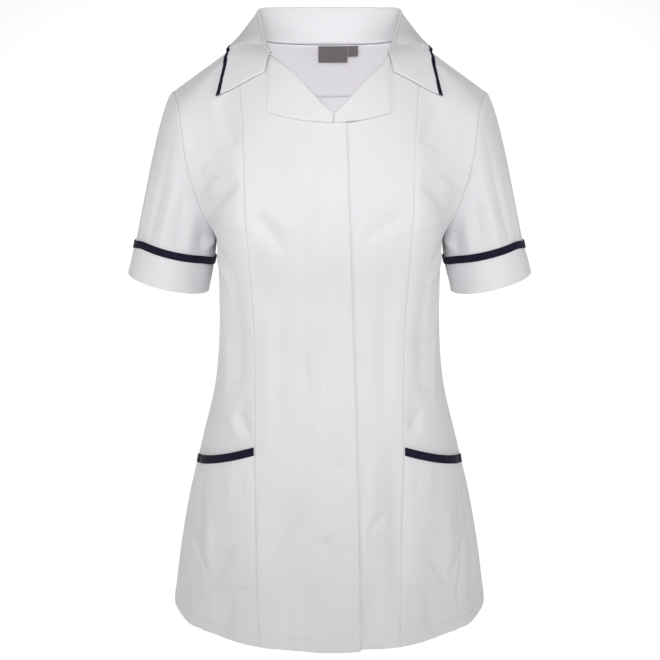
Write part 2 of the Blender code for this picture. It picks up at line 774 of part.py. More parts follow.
def build_hip_pocket(word, side_sign, cloth, navy):
    def mouth(share):
        return lerp(*HIP_MOUTH, share) - HIP_MOUTH_SAG * np.sin(math.pi * share)

    def bag_top(share):
        return mouth(share) - POCKET_BAND - SEAM_GAP

    def bag_foot(share):
        return lerp(*HIP_FOOT, share)

    def inner_end(station):
        return 1 + POCKET_INSET + 0 * station

    def outer_end(station):
        return seam_around(station) - POCKET_INSET

    around, station, share, up = pocket_grid(
        side_sign, bag_top, bag_foot, HIP_COLUMNS, HIP_ROWS, inner_end, outer_end
    )
    rest = POCKET_REST + hip_puff(share, up)
    outer = skin(around, station, rest + CLOTH)
    inner = skin(around, station, rest)
    add_wall("hip_pocket_" + word, outer, inner, cloth)

    def band_foot(share):
        return mouth(share) - POCKET_BAND

    around, station, share, _ = pocket_grid(
        side_sign, mouth, band_foot, HIP_COLUMNS, 3, inner_end, outer_end
    )
    rest = POCKET_REST + hip_puff(share, 1)
    outer = skin(around, station, rest + BINDING)
    inner = skin(around, station, rest)
    add_wall("pocket_binding_" + word, outer, inner, navy)


def build_chest_pocket(word, side_sign, cloth):
    def mouth(share):
        return lerp(*CHEST_MOUTH, share**1.7)

    def foot(share):
        return lerp(*CHEST_FOOT, share)

    def inner_end(station):
        return 1 + POCKET_INSET + 0 * station

    def outer_end(station):
        return CHEST_OUTER - CHEST_TAPER * smoothstep(9.6, 8.0, station)

    around, station, _, _ = pocket_grid(
        side_sign, mouth, foot, CHEST_COLUMNS, CHEST_POCKET_ROWS, inner_end, outer_end
    )
    outer = skin(around, station, CHEST_REST + CLOTH)
    inner = skin(around, station, CHEST_REST)
    add_wall("chest_pocket_" + word, outer, inner, cloth)


def build_lapel(word, side_sign, material):
    rows = LAPEL_ROWS
    fold, edge = lapel_lines(side_sign, rows)
    seat = lapel_seat(side_sign, rows)
    inward = unit(fold - edge)
    curl = np.radians([0, 45, 90, 135, 180])
    grid_outer, grid_inner = [], []
    for row in range(rows):
        over = seat[row] + inward[row] * (SEAM_GAP + ROLL_RADIUS * np.sin(curl))[:, None]
        share = np.linspace(0, 1, LAPEL_COLUMNS)[1:]
        flat = np.concatenate([over, lerp(over[-1], edge[row], share[:, None])])
        lying = np.full(len(share), 2 * ROLL_RADIUS)
        lifts = np.concatenate([ROLL_RADIUS * (1 - np.cos(curl)), lying])
        place = front_place(flat[:, 0], flat[:, 1])
        lifts = lifts + lapel_raise(flat[:, 0])
        at = skin(*place, lifts)
        nearby = unit(skin(*place, lifts + 0.001) - at)
        reach = np.array([inward[row][0], 0, inward[row][1]])
        angle = np.concatenate([curl, np.full(len(share), math.pi)])[:, None]
        turned = unit(-nearby * np.cos(angle) + reach * np.sin(angle))
        grid_outer.append(at + turned * CLOTH / 2)
        grid_inner.append(at - turned * CLOTH / 2)
    add_wall("lapel_" + word, np.array(grid_outer), np.array(grid_inner), material)


def lapel_raise(across):
    """The lift of what lies over the raised edge of the upper front."""
    return raise_over(across) * smoothstep(*LAPEL_REST, across)


def rested(points, lift):
    """Moves points out of the form until they lie at least lift from its middle."""
    around, station = np.meshgrid(np.linspace(0, 4, 161), np.linspace(9, SHOULDER, 61))
    base = skin(around, station).reshape(-1, 3)
    normals = unit(skin(around, station, 0.01).reshape(-1, 3) - base)
    flat = points.reshape(-1, 3).copy()
    flip = np.where(flat[:, 0] < 0, -1.0, 1.0)
    flat[:, 0] *= flip
    wanted = np.broadcast_to(lift, points.shape[:2]).reshape(-1)
    for _ in range(3):
        for index, point in enumerate(flat):
            nearest = np.argmin(np.sum((base - point) ** 2, axis=1))
            depth = np.dot(point - base[nearest], normals[nearest])
            if depth < wanted[index]:
                flat[index] = point + normals[nearest] * (wanted[index] - depth)
    flat[:, 0] *= flip
    return flat.reshape(points.shape)


def neck_places(share):
    """The neck seam from the centre back (0) over the shoulder to the lapel (1)."""
    corner = NECK_ACROSS / BACK("blade_x", SHOULDER)
    back_around = 4 - corner * np.minimum(share / SHOULDER_SHARE, 1)
    first = front_place(*lapel_seat(1, LAPEL_ROWS)[-1])
    last = NECK_ACROSS / FRONT("princess_x", SHOULDER), SHOULDER
    ahead = np.clip((share - SHOULDER_SHARE) / (1 - SHOULDER_SHARE), 0, 1)
    in_front = share > SHOULDER_SHARE
    around = np.where(in_front, lerp(last[0], first[0], ahead), back_around)
    station = np.where(in_front, lerp(last[1], first[1], ahead), SHOULDER)
    return around, station


def collar_foot(share):
    """The foot of the collar's stand, the way into the neck opening and the way off the cloth."""
    around, station = neck_places(share)
    seam = form(around, station)
    outward = unit(skin(around, station, 1.0) - skin(around, station))
    inward = unit(np.cross(np.gradient(seam, axis=0), outward))
    return seam + inward * STAND_GAP, inward, outward


def collar_profile():
    """Sections of the collar on the wearer's left, from the centre back to the notch."""
    over_back = np.linspace(0, SHOULDER_SHARE, HALF_NECK_COLUMNS + 1)
    over_front = np.linspace(SHOULDER_SHARE, 1 - GORGE_GAP, COLLAR_FRONT_COLUMNS + 1)
    share = np.concatenate([over_back, over_front[1:]])
    step = share / share[-1] * 8
    edge = stacked(*(COLLAR("edge_" + axis, step) for axis in "xyz"))
    foot, inward, outward = collar_foot(share)
    at_front = smoothstep(0.66, 0.97, share)[:, None]
    fold = stacked(*(COLLAR("fold_" + axis, step) for axis in "xyz"))
    fold = lerp(fold, foot + inward * (FOLD_RADIUS + REST_GAP), at_front)
    up = unit(fold - foot)
    away = lerp(unit(edge - fold), outward, at_front)
    turn = unit(away - up * np.sum(away * up, axis=1, keepdims=True))
    stand_top = fold - up * FOLD_RADIUS
    sections = [foot, lerp(foot, stand_top, 0.5), stand_top]
    for angle in np.radians([45, 90, 135, 180]):
        over = FOLD_RADIUS * (1 - math.cos(angle))
        sections.append(stand_top + turn * over + up * FOLD_RADIUS * math.sin(angle))
    leaf_top = sections[-1]
    bent_weight = smoothstep(0.80, 1.0, share)[:, None]
    bow_weight = smoothstep(0.85, 0.55, share)[:, None]
    for t in LEAF_SHARES:
        plain = lerp(leaf_top, edge, t) + turn * LEAF_BOW * math.sin(math.pi * t) * bow_weight
        if t <= GORGE_SHARE:
            bent = lerp(leaf_top[-1], np.array(NOTCH), t / GORGE_SHARE)
        else:
            bent = lerp(np.array(NOTCH), edge[-1], (t - GORGE_SHARE) / (1 - GORGE_SHARE))
        sections.append(plain + bent_weight * (bent - lerp(leaf_top[-1], edge[-1], t)))
    return np.array(sections)


def build_collar(material, navy):
    profile = collar_profile()
    leaf_rows = len(LEAF_SHARES)
    profile[-leaf_rows:] = rested(profile[-leaf_rows:], LEAF_LIFT)
    whole = np.concatenate([mirrored(profile[:, :0:-1], -1), profile], axis=1)
    last = whole[-1]
    back_step = unit(last - whole[-2])
    leaf_end = last - back_step * (COLLAR_BINDING_WIDTH + 2 * SEAM_GAP)
    leaf = np.concatenate([whole[:-1], leaf_end[None]])
    normals = grid_normals(leaf)
    if normals[0, profile.shape[1] - 1, 1] > 0:
        normals = -normals
    outer, inner = thicken(leaf, normals, CLOTH)
    add_wall("collar", outer, inner, material)
    binding = np.array([last - back_step * COLLAR_BINDING_WIDTH, last])
    outer, inner = thicken(binding, np.array([normals[-1], normals[-1]]), BINDING)
    add_wall("collar_binding", outer, inner, navy)


def build_neck_facing(material):
    rows = ROWS[(ROWS > FACING_FOOT_STATION) & (ROWS < FACING_TOP_STATION)]
    rows = np.append(rows, FACING_TOP_STATION)
    around, station = np.meshgrid(both_sides(neck_columns())[1:-1], rows)
    add_panel("back_neck_facing", around, station, -LAY, material)


def build_label(name, left, right, drop, material):
    """A woven label that hangs from the top of the facing, clear of it below."""
    across = np.linspace(left, right, 4)
    places = np.linspace(3.3, 4.0, 141)
    lift = -(LAY + CLOTH / 2 + REST_GAP + LABEL_CLOTH / 2)
    line = skin(places, FACING_TOP_STATION, lift)
    around = np.interp(-np.abs(across), -line[:, 0], places)
    top = skin(around * np.where(across < 0, -1, 1), FACING_TOP_STATION, lift)
    grid = np.array([top - np.array([0, 0, fall]) for fall in np.linspace(drop, 0, 4)])
    normals = np.tile(np.array([0.0, 1.0, 0.0]), grid.shape[:2] + (1,))
    outer, inner = thicken(grid, normals, LABEL_CLOTH)
    add_wall(name, outer, inner, material)


def main():
    for piece in list(bpy.data.objects):
        bpy.data.objects.remove(piece)
    cloth = cloth_material("white_polycotton", WHITE, 0.85)
    navy = cloth_material("navy_binding", NAVY, 0.75)
    grey = cloth_material("grey_label", GREY, 0.6)
    build_back("back", cloth)
    build_neck_facing(cloth)
    build_label("label_main", *MAIN_LABEL, grey)
    build_label("label_size", *SIZE_LABEL, grey)
    for word, side_sign in (("right", -1), ("left", 1)):
        build_front_centre("front_centre_" + word, side_sign, cloth)
        build_front_side("front_side_" + word, side_sign, cloth)
        build_sleeve(word, side_sign, cloth, navy)
        build_hip_pocket(word, side_sign, cloth, navy)
        build_chest_pocket(word, side_sign, cloth)
        build_lapel(word, side_sign, cloth)
    build_collar(cloth, navy)


if __name__ == "__main__":
    main()
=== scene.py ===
"""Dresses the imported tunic: cloth panels with creases, seams, bindings, labels and stitching.

Laid out as an add-on and run as a script. Metres, +Z up, front towards -Y. Every panel is a
patch of one cloth form, and a place on it has two numbers: around (0 centre front, 1 princess
seam, 2 side or armhole, 3 shoulder blade, 4 centre back, below zero on the wearer's right)
and station (0 hem, 5 waist, 7 underarm, 14 shoulder seam).
"""

import functools
import math

import bpy
import numpy as np
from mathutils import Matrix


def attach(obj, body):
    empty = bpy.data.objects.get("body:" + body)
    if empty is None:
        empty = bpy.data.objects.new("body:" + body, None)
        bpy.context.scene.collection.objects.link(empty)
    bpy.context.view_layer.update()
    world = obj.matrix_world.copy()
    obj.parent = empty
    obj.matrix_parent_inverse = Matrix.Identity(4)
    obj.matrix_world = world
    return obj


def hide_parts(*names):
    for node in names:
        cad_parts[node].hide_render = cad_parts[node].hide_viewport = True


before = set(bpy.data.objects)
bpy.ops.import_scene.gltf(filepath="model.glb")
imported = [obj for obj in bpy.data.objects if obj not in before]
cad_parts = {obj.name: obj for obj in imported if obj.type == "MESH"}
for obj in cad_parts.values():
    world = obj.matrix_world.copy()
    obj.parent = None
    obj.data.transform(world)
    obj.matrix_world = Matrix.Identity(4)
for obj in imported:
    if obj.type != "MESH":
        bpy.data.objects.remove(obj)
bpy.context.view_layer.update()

bl_info = {
    "name": "Medical Tunic",
    "version": (1, 0, 0),
    "blender": (4, 5, 0),
    "location": "View3D > Sidebar > Tunic",
    "description": "Builds a short-sleeved tunic with bindings, creases and stitching",
    "category": "Add Mesh",
}

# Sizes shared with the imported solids
CLOTH = 0.0015
SEAM_GAP = 0.0003
REST_GAP = 0.0004
LAY = CLOTH + 1.6 * REST_GAP

# Stations of the form; a nudge keeps a place on the front side of a seam
HEM = 0
UNDERARM = 7
SHOULDER = 14
NUDGE = 1e-9
SHOULDER_SEAM = 0.012
VENT_TOP = 0.5
VENT_SPREAD = 0.007

# Front opening: the wearer's right front lies over the left one
OVERLAP = 0.025
OVERLAP_START = -0.030
OVERLAP_FULL = -0.012
FLY_TOP = 10.5
UNDER_HEM_RISE = 0.036
UNDER_HEM_ROWS = 9
UNDER_HEM_TOP = 0.25
PRINCESS_ACROSS = 0.09

# Neck, lapels and collar
ROUND = 2.3
NECK_ACROSS = 0.0777
NECK_BACK = 0.065
NECK_DROP = 0.0065
ROLL_RADIUS = 0.0016
LAPEL_CORNER = (0.0705, -0.0805)
LAPEL_TOP = (0.0702, -0.0182)
LAPEL_FOOT = -0.0915
LAPEL_DIP = 0.0018
LAPEL_REST = (0.040, 0.024)
FOLD_RADIUS = 0.0019
STAND_GAP = 0.0014
SHOULDER_SHARE = 0.6
GORGE_GAP = 0.044
NOTCH = (0.0728, -0.0560, -0.0382)
LEAF_BOW = 0.0085
COLLAR_BINDING_WIDTH = 0.0045
GORGE_SHARE = 0.26

# Sleeve
SLEEVE_LEAN = math.radians(13.9)
BAND_CENTRE = (0.1934, 0.003, -0.2575)
BAND_RADII = (0.0493, 0.0585)
CUFF_CENTRE = (0.2022, 0.002, -0.2937)
CUFF_RADII = (0.0493, 0.0580)
SLEEVE_HEAD = 0.060
SLEEVE_FALL = 0.085
UNDERARM_TURN = 0.012
UNDERARM_FALL = 0.035
UNDERARM_WAY = np.array([1.0, 0.0, -0.15])
CUFF_SWELL = 0.0012
CUFF_LENGTH = 0.0355
BAND_WIDTH = 0.0095
BAND_RISE = 0.0082
BAND_OVER = 0.35

# Pockets and their bindings
POCKET_BAND = 0.0095
POCKET_PUFF = 0.0034
PUFF_SPAN = (0.09, 0.74)
POCKET_INSET = 0.006
HIP_MOUTH = (-0.4800, -0.5170)
HIP_MOUTH_SAG = 0.003
HIP_FOOT = (-0.6570, -0.6780)
CHEST_MOUTH = (-0.1120, -0.1480)
CHEST_FOOT = (-0.2170, -0.2110)
CHEST_OUTER = 1.80
CHEST_TAPER = 0.16

# Neck facing and labels, inside the back; a label is (left, right, drop)
FACING_TOP_STATION = 13.94
LABEL_CLOTH = 0.0010
MAIN_LABEL = (-0.0139, 0.0226, 0.0215)
SIZE_LABEL = (0.0232, 0.0356, 0.0128)


def lerp(start, end, share):
    return start + (end - start) * share


def smoothstep(start, end, value):
    share = np.clip((value - start) / (end - start), 0, 1)
    return share * share * (3 - 2 * share)


def unit(vectors):
    return vectors / np.maximum(np.linalg.norm(vectors, axis=-1, keepdims=True), 1e-12)


def stacked(x, y, z):
    return np.stack(np.broadcast_arrays(x, y, z), axis=-1)


class Table:
    """Sizes in named columns, one row a step, read between rows on a smooth curve."""

    def __init__(self, columns, *rows):
        self.columns = columns.split()
        self.rows = np.array(rows, float)

    def __call__(self, column, place):
        values = self.rows[:, self.columns.index(column)]
        last = len(values) - 1
        place = np.clip(np.asarray(place, float) - self.rows[0, 0], 0, last)
        step = np.minimum(place.astype(int), last - 1)
        t = place - step
        before = 2 * values[0] - values[1]
        after = 2 * values[-1] - values[-2]
        padded = np.concatenate([[before], values, [after]])
        a, b, c, d = (padded[step + k] for k in range(4))
        return b + 0.5 * t * (c - a + t * (2 * a - 5 * b + 4 * c - d + t * (3 * (b - c) + d - a)))


FRONT = Table(
    "station centre_z centre_y princess_z princess_x princess_y",
    (0, -0.7315, -0.1410, -0.7315, 0.0875, -0.1273),
    (1, -0.6600, -0.1355, -0.6600, 0.0885, -0.1208),
    (2, -0.5800, -0.1270, -0.5800, 0.0895, -0.1130),
    (3, -0.5000, -0.117, -0.5000, 0.0905, -0.1035),
    (4, -0.4300, -0.109, -0.4300, 0.0905, -0.0925),
    (5, -0.3700, -0.106, -0.3700, 0.0905, -0.0885),
    (6, -0.3050, -0.112, -0.3050, 0.0915, -0.0975),
    (7, -0.2375, -0.127, -0.2375, 0.0945, -0.1145),
    (8, -0.1950, -0.129, -0.1950, 0.0970, -0.1180),
    (9, -0.1500, -0.120, -0.1500, 0.0985, -0.1060),
    (10, -0.1080, -0.104, -0.1080, 0.1005, -0.0855),
    (11, -0.0720, -0.0885, -0.0720, 0.1035, -0.0635),
    (12, -0.0420, -0.0735, -0.0420, 0.1070, -0.0415),
    (13, -0.0170, -0.0520, -0.0180, 0.1100, -0.0185),
    (14, 0.0090, 0.0, -0.0050, 0.1120, 0.0),
)

BACK = Table(
    "station blade_z blade_x blade_y centre_z centre_y",
    (0, -0.7315, 0.1000, 0.1220, -0.7315, 0.1350),
    (1, -0.6600, 0.0980, 0.1200, -0.6600, 0.1340),
    (2, -0.5800, 0.0950, 0.1135, -0.5800, 0.1300),
    (3, -0.5000, 0.0900, 0.0980, -0.5000, 0.1160),
    (4, -0.4300, 0.0860, 0.0800, -0.4300, 0.0960),
    (5, -0.3700, 0.0840, 0.0665, -0.3700, 0.0790),
    (6, -0.3050, 0.0860, 0.0680, -0.3050, 0.0755),
    (7, -0.2375, 0.0910, 0.0825, -0.2375, 0.0865),
    (8, -0.1900, 0.0945, 0.0905, -0.1900, 0.0950),
    (9, -0.1450, 0.0975, 0.0935, -0.1450, 0.1010),
    (10, -0.1040, 0.1005, 0.0885, -0.1050, 0.1025),
    (11, -0.0680, 0.1035, 0.0755, -0.0720, 0.0990),
    (12, -0.0380, 0.1070, 0.0550, -0.0450, 0.0905),
    (13, -0.0150, 0.1100, 0.0290, -0.0240, 0.0790),
    (14, -0.0050, 0.1120, 0.0, -0.0065, 0.0650),
)

# The widest line of the body, and how far the side seam has swung forward of it
SIDE = Table(
    "station side_x side_y seam",
    (0, 0.2080, 0.0300, 1.425),
    (1, 0.1975, 0.016, 1.49),
    (2, 0.1826, 0.004, 1.70),
    (3, 0.1632, 0.000, 1.94),
    (4, 0.1460, 0.000, 2.00),
    (5, 0.1392, 0.000, 2.00),
    (6, 0.1374, 0.004, 2.00),
    (7, 0.1370, 0.008, 2.00),
)

# The armhole, from the underarm up its front and up its back; turn is where a row heads
ARMHOLE = Table(
    "station front_z front_x front_y front_turn back_z back_x back_y back_turn",
    (7, -0.2375, 0.1370, 0.0080, 90, -0.2375, 0.1370, 0.0080, 90),
    (8, -0.2300, 0.1410, -0.0210, 88, -0.2290, 0.1410, 0.0330, 97),
    (9, -0.2060, 0.1510, -0.0470, 64, -0.2040, 0.1490, 0.0530, 115),
    (10, -0.1710, 0.1620, -0.0590, 40, -0.1730, 0.1580, 0.0645, 136),
    (11, -0.1380, 0.1705, -0.0595, 22, -0.1420, 0.1660, 0.0665, 155),
    (12, -0.1060, 0.1750, -0.0520, 10, -0.1110, 0.1730, 0.0590, 170),
    (13, -0.0770, 0.1800, -0.0330, 3, -0.0800, 0.1800, 0.0370, 177),
    (14, -0.0592, 0.1890, 0.0000, 0, -0.0592, 0.1890, 0.0000, 180),
)

# The visible fold of the lapels, by height: its mean distance from the middle, and its
# shift to the wearer's left
ROLL = Table(
    "step height across shift",
    (0, -0.0810, 0.0000, 0.0052),
    (1, -0.0640, 0.0185, 0.0045),
    (2, -0.0440, 0.0365, 0.0052),
    (3, -0.0290, 0.0545, 0.0050),
    (4, -0.0174, 0.0682, 0.0000),
)

# The edge of the upper front, as far as it passes the middle
OPENING = Table(
    "step height across",
    (0, -0.7315, 0.0385),
    (1, -0.5190, 0.0340),
    (2, -0.3060, 0.0270),
    (3, -0.0900, 0.0192),
)

# Collar from the centre back to the notch: its fold, and the edge of its leaf
COLLAR = Table(
    "step fold_x fold_y fold_z edge_x edge_y edge_z",
    (0, 0.0000, 0.0660, 0.0400, 0.0000, 0.0950, -0.0240),
    (1, 0.0300, 0.0650, 0.0400, 0.0440, 0.0930, -0.0240),
    (2, 0.0600, 0.0600, 0.0400, 0.0850, 0.0820, -0.0210),
    (3, 0.0855, 0.0480, 0.0385, 0.1150, 0.0590, -0.0150),
    (4, 0.0832, 0.0280, 0.0255, 0.1240, 0.0270, -0.0105),
    (5, 0.0780, 0.0035, 0.0110, 0.1225, 0.0000, -0.0095),
    (6, 0.0756, -0.0150, 0.0010, 0.1248, -0.0200, -0.0265),
    (7, 0.0730, -0.0330, -0.0060, 0.1288, -0.0350, -0.0460),
    (8, 0.0700, -0.0480, -0.0140, 0.1330, -0.0480, -0.0620),
)

# Soft folds that fall from the hips and the shoulder blades; out is above zero
FOLDS = (
    # around, half width, foot station, head station, out
    (1.30, 0.13, -0.5, 3.0, -0.0030),
    (1.50, 0.11, -0.5, 2.6, 0.0035),
    (0.55, 0.22, 0.3, 2.8, -0.0020),
    (2.35, 0.14, -0.5, 3.4, 0.0045),
    (2.70, 0.14, -0.5, 3.0, -0.0040),
    (3.20, 0.16, -0.5, 3.6, 0.0040),
    (3.62, 0.16, -0.5, 3.2, -0.0035),
)


def station_of(height):
    """The station of a height on the front."""
    places = np.linspace(HEM, SHOULDER, 1401)
    return np.interp(height, FRONT("princess_z", places), places)


def bowed(share, start, start_turn, end, end_turn):
    """A level curve between two points that leaves and arrives at the given turns."""
    chord = np.hypot(end[0] - start[0], end[1] - start[1])
    reach = chord / np.cos((end_turn - start_turn) / 4) ** 2
    t = share
    from_start = 2 * t**3 - 3 * t**2 + 1
    to_end = 3 * t**2 - 2 * t**3
    leaving = (t**3 - 2 * t**2 + t) * reach
    arriving = (t**3 - t**2) * reach
    x = from_start * start[0] + to_end * end[0]
    y = from_start * start[1] + to_end * end[1]
    x = x + leaving * np.cos(start_turn) + arriving * np.cos(end_turn)
    y = y + leaving * np.sin(start_turn) + arriving * np.sin(end_turn)
    return stacked(x, y, lerp(start[2], end[2], t))


def crossing_turn(slope, rising, start, end):
    """The turn at which a sloping row leaves a seam, so that the cloth runs smoothly over it."""
    level = stacked(np.cos(slope), np.sin(slope), 0)
    normal = np.cross(level, rising)
    chord = np.hypot(end[0] - start[0], end[1] - start[1])
    heading = np.arctan2(end[1] - start[1], end[0] - start[0])
    flat = np.hypot(normal[..., 0], normal[..., 1])
    reach = -normal[..., 2] * (end[2] - start[2]) / (chord * flat)
    swing = np.arccos(np.clip(reach, -1, 1))
    facing = np.arctan2(normal[..., 1], normal[..., 0])
    options = np.stack([facing + swing, facing - swing])
    misses = np.abs((options - heading + math.pi) % (2 * math.pi) - math.pi)
    chosen = np.where(misses[0] < misses[1], options[0], options[1])
    return heading + (chosen - heading + math.pi) % (2 * math.pi) - math.pi


def ridge_share(station):
    """How far a row has straightened into the shoulder seam."""
    return smoothstep(12.5, SHOULDER, station)


def princess(station):
    return (
        FRONT("princess_x", station),
        FRONT("princess_y", station),
        FRONT("princess_z", station),
    )


def blade(station):
    return BACK("blade_x", station), BACK("blade_y", station), BACK("blade_z", station)


def side(station, which):
    """The outer end of a row: the side of the body, or the armhole above the underarm."""
    low = station <= UNDERARM
    x = np.where(low, SIDE("side_x", station), ARMHOLE(which + "_x", station))
    y = np.where(low, SIDE("side_y", station), ARMHOLE(which + "_y", station))
    z = np.where(low, FRONT("princess_z", station), ARMHOLE(which + "_z", station))
    turn = np.where(low, 90, ARMHOLE(which + "_turn", station))
    return (x, y, z), np.radians(turn)


def rising(line, station):
    """The direction in which a seam climbs."""
    step = 0.02
    above = stacked(*line(np.minimum(station + step, SHOULDER)))
    below = stacked(*line(np.maximum(station - step, HEM)))
    return unit(above - below)


def front_centre(share, station):
    seam = princess(station)
    middle = FRONT("centre_y", station)
    y = middle + (seam[1] - middle) * np.abs(share) ** ROUND
    z = lerp(FRONT("centre_z", station), seam[2], np.abs(share))
    return stacked(share * seam[0], y, z)


def front_side(share, station):
    start = princess(station)
    end, end_turn = side(station, "front")
    slope = np.arctan(ROUND * (start[1] - FRONT("centre_y", station)) / start[0])
    turn = crossing_turn(slope, rising(princess, station), start, end)
    turn = turn * (1 - ridge_share(station))
    return bowed(share, start, turn, end, end_turn)


def back_side(share, station):
    start, start_turn = side(station, "back")
    end = blade(station)
    slope = math.pi - np.arctan(ROUND * (BACK("centre_y", station) - end[1]) / end[0])
    turn = crossing_turn(slope, rising(blade, station), start, end)
    turn = np.where(turn < 0, turn + 2 * math.pi, turn)
    turn = lerp(turn, math.pi, ridge_share(station))
    return bowed(share, start, start_turn, end, turn)


def back_centre(share, station):
    """From the shoulder blade to the centre back; its top row turns into the neckline."""

    def plain(place):
        outer = blade(place)
        middle = BACK("centre_y", place)
        y = middle - (middle - outer[1]) * out**ROUND
        return stacked(out * outer[0], y, lerp(BACK("centre_z", place), outer[2], out))

    out = 1 - share
    top = np.full_like(station, SHOULDER, dtype=float)
    corner = NECK_ACROSS / BACK("blade_x", SHOULDER)
    angle = np.minimum(out / corner, 1) * math.pi / 2
    beyond = np.clip((out - corner) / (1 - corner), 0, 1)
    neck = stacked(
        lerp(NECK_ACROSS * np.sin(angle), BACK("blade_x", SHOULDER), beyond),
        NECK_BACK * np.cos(angle),
        lerp(-NECK_DROP * np.cos(angle), BACK("blade_z", SHOULDER), beyond),
    )
    weight = smoothstep(11.5, SHOULDER, station)[..., None]
    return plain(station) + weight * (neck - plain(top))


def form(around, station):
    """The middle of the cloth at a place on the form."""
    around, station = np.broadcast_arrays(np.asarray(around, float), np.asarray(station, float))
    size = np.abs(around)
    patches = (front_centre, front_side, back_side, back_centre)
    points = np.zeros(around.shape + (3,))
    for first, patch in enumerate(patches):
        inside = (size >= first) & ((size < first + 1) | (first == 3))
        if inside.any():
            points[inside] = patch(size[inside] - first, station[inside])
    points[..., 0] *= np.where(around < 0, -1, 1)
    return points


def fold_depth(around, station):
    """How far the soft folds move the cloth out."""
    size = np.abs(around)
    depth = np.zeros(np.broadcast(around, station).shape)
    for centre, width, foot, head, out in FOLDS:
        across = np.exp(-(((size - centre) / width) ** 2))
        depth = depth + out * across * (1 - smoothstep(foot, head, station))
    return depth


def skin(around, station, lift=0.0):
    """A point on the cloth, moved out of the form by lift."""
    around, station = np.broadcast_arrays(np.asarray(around, float), np.asarray(station, float))
    flip = np.where(around < 0, -1.0, 1.0)
    size = np.abs(around)
    step = 0.004
    low = np.maximum(size - step, np.floor(np.minimum(size, 3.999)))
    high = np.minimum(size + step, np.floor(np.minimum(size, 3.999)) + 1 - NUDGE)
    across = form(high, station) - form(low, station)
    above = np.minimum(station + step, SHOULDER)
    below = np.maximum(station - step, HEM)
    inward = np.minimum(size, 4 - NUDGE)
    up = form(inward, above) - form(inward, below)
    normal = unit(np.cross(across, up))
    ridge = unit(np.array([0.567, 0.0, 0.823]))
    shoulder = smoothstep(13.0, SHOULDER, station) * smoothstep(3.45, 3.25, size)
    normal = unit(lerp(normal, ridge, shoulder[..., None]))
    out = lift + fold_depth(size, station)
    points = form(size, station) + normal * np.asarray(out)[..., None]
    points[..., 0] *= flip
    return points


def grid_normals(points, ring=False):
    """Normals of a grid of points, from its rows and columns."""
    if ring:
        along = np.roll(points, -1, axis=1) - np.roll(points, 1, axis=1)
    else:
        along = np.gradient(points, axis=1)
    return unit(np.cross(along, np.gradient(points, axis=0)))


# Sizes of the dressed cloth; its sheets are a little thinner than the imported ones
SHEET = 0.0011
BRAID = 0.0014
COLLAR_BRAID = 0.0021
LABEL_SHEET = 0.0007
THREAD_LIFT = SHEET / 2 + 0.0001
BRAID_WAVE = 0.0001
CUFF_BAND_REST = 0.0021
CUFF_BAND_RIPPLE = 0.0021
POCKET_BAND_REST = 0.0018
POCKET_BAND_RIPPLE = 0.0023

# How far a pocket's cloth lies off its panel at its foot and higher up, and how much its edges
# fall off from its middle
HIP_REST = (0.0003, 0.0007)
HIP_FALL = 0.0009
CHEST_REST = (0.0001, 0.0006)
CHEST_FALL = 0.0005
FALL_WIDTH = 0.008

# Edges of the dressed cloth
EDGE_WALL = 0.00015
SEAM_CLEAR = 0.00004
EDGE_ROUND = 0.0007
EDGE_ZONE = 0.003
ROLL_WIDTH = 0.0022
LAPEL_EDGE_LIFT = 0.0022
LAPEL_SUNK = 0.0002
LAPEL_SUNK_LINE = 0.0055
LAPEL_STITCH = 0.005
LEAF_REST = 0.0030
COLLAR_WRAP = 0.0014
COLLAR_UNDER = 0.0018
COLLAR_STITCH = 0.0022
LABEL_RAISE = 0.0032
LABEL_WAVE = 0.00015
LABEL_SLOPE = np.array([0, 0.56, -0.83])
FACING_EDGE_LIFT = -0.0017
FACING_STEPS = np.array([0.0012, 0.0024, 0.0034])
HEM_TURN = 0.015
HEM_RAISED = 0.0004
HEM_SUNK = 0.0005
HEM_BLEND = 0.0006
SEW_WIDTH = 0.0012
PUCKER_WIDTH = 0.0065
CUFF_HEM = 0.0035
CUFF_SWAY = 0.0008
UNDER_VENT = 0.07
UNDER_VENT_FADE = 0.16
UNDER_VENT_DEPTH = 0.0021
EDGE_STEPS = np.array([0.0, 0.0003, 0.0008, 0.0015, 0.0025])

# Fine rows of the panels; the armhole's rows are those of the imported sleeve
LAPEL_ROWS = 36
ARM_ROWS = np.concatenate(
    [
        [7, 7.3, 7.7, 8.2, 8.8, 9.4, 10.0, FLY_TOP],
        np.linspace(10.8, 13.35, 8),
        lerp(13.35, SHOULDER, np.array([1, 2, 3]) / 3),
    ]
)
HEM_ROWS = np.array([0.0042, 0.011, 0.021, 0.19, 0.2, 0.207, 0.214, 0.224])
LOWER_ROWS = np.sort(np.concatenate([np.linspace(HEM, UNDERARM, 169), HEM_ROWS]))
CHEST_ROWS = np.linspace(UNDERARM, FLY_TOP, 50)[1:]
ROLL_ROWS = np.linspace(10.8, 13.35, LAPEL_ROWS)
NECK_ROWS = np.append(np.linspace(13.35, 13.97, 10)[1:], [13.985, 13.995, SHOULDER])
ROWS = np.concatenate([LOWER_ROWS, CHEST_ROWS, ROLL_ROWS, NECK_ROWS])

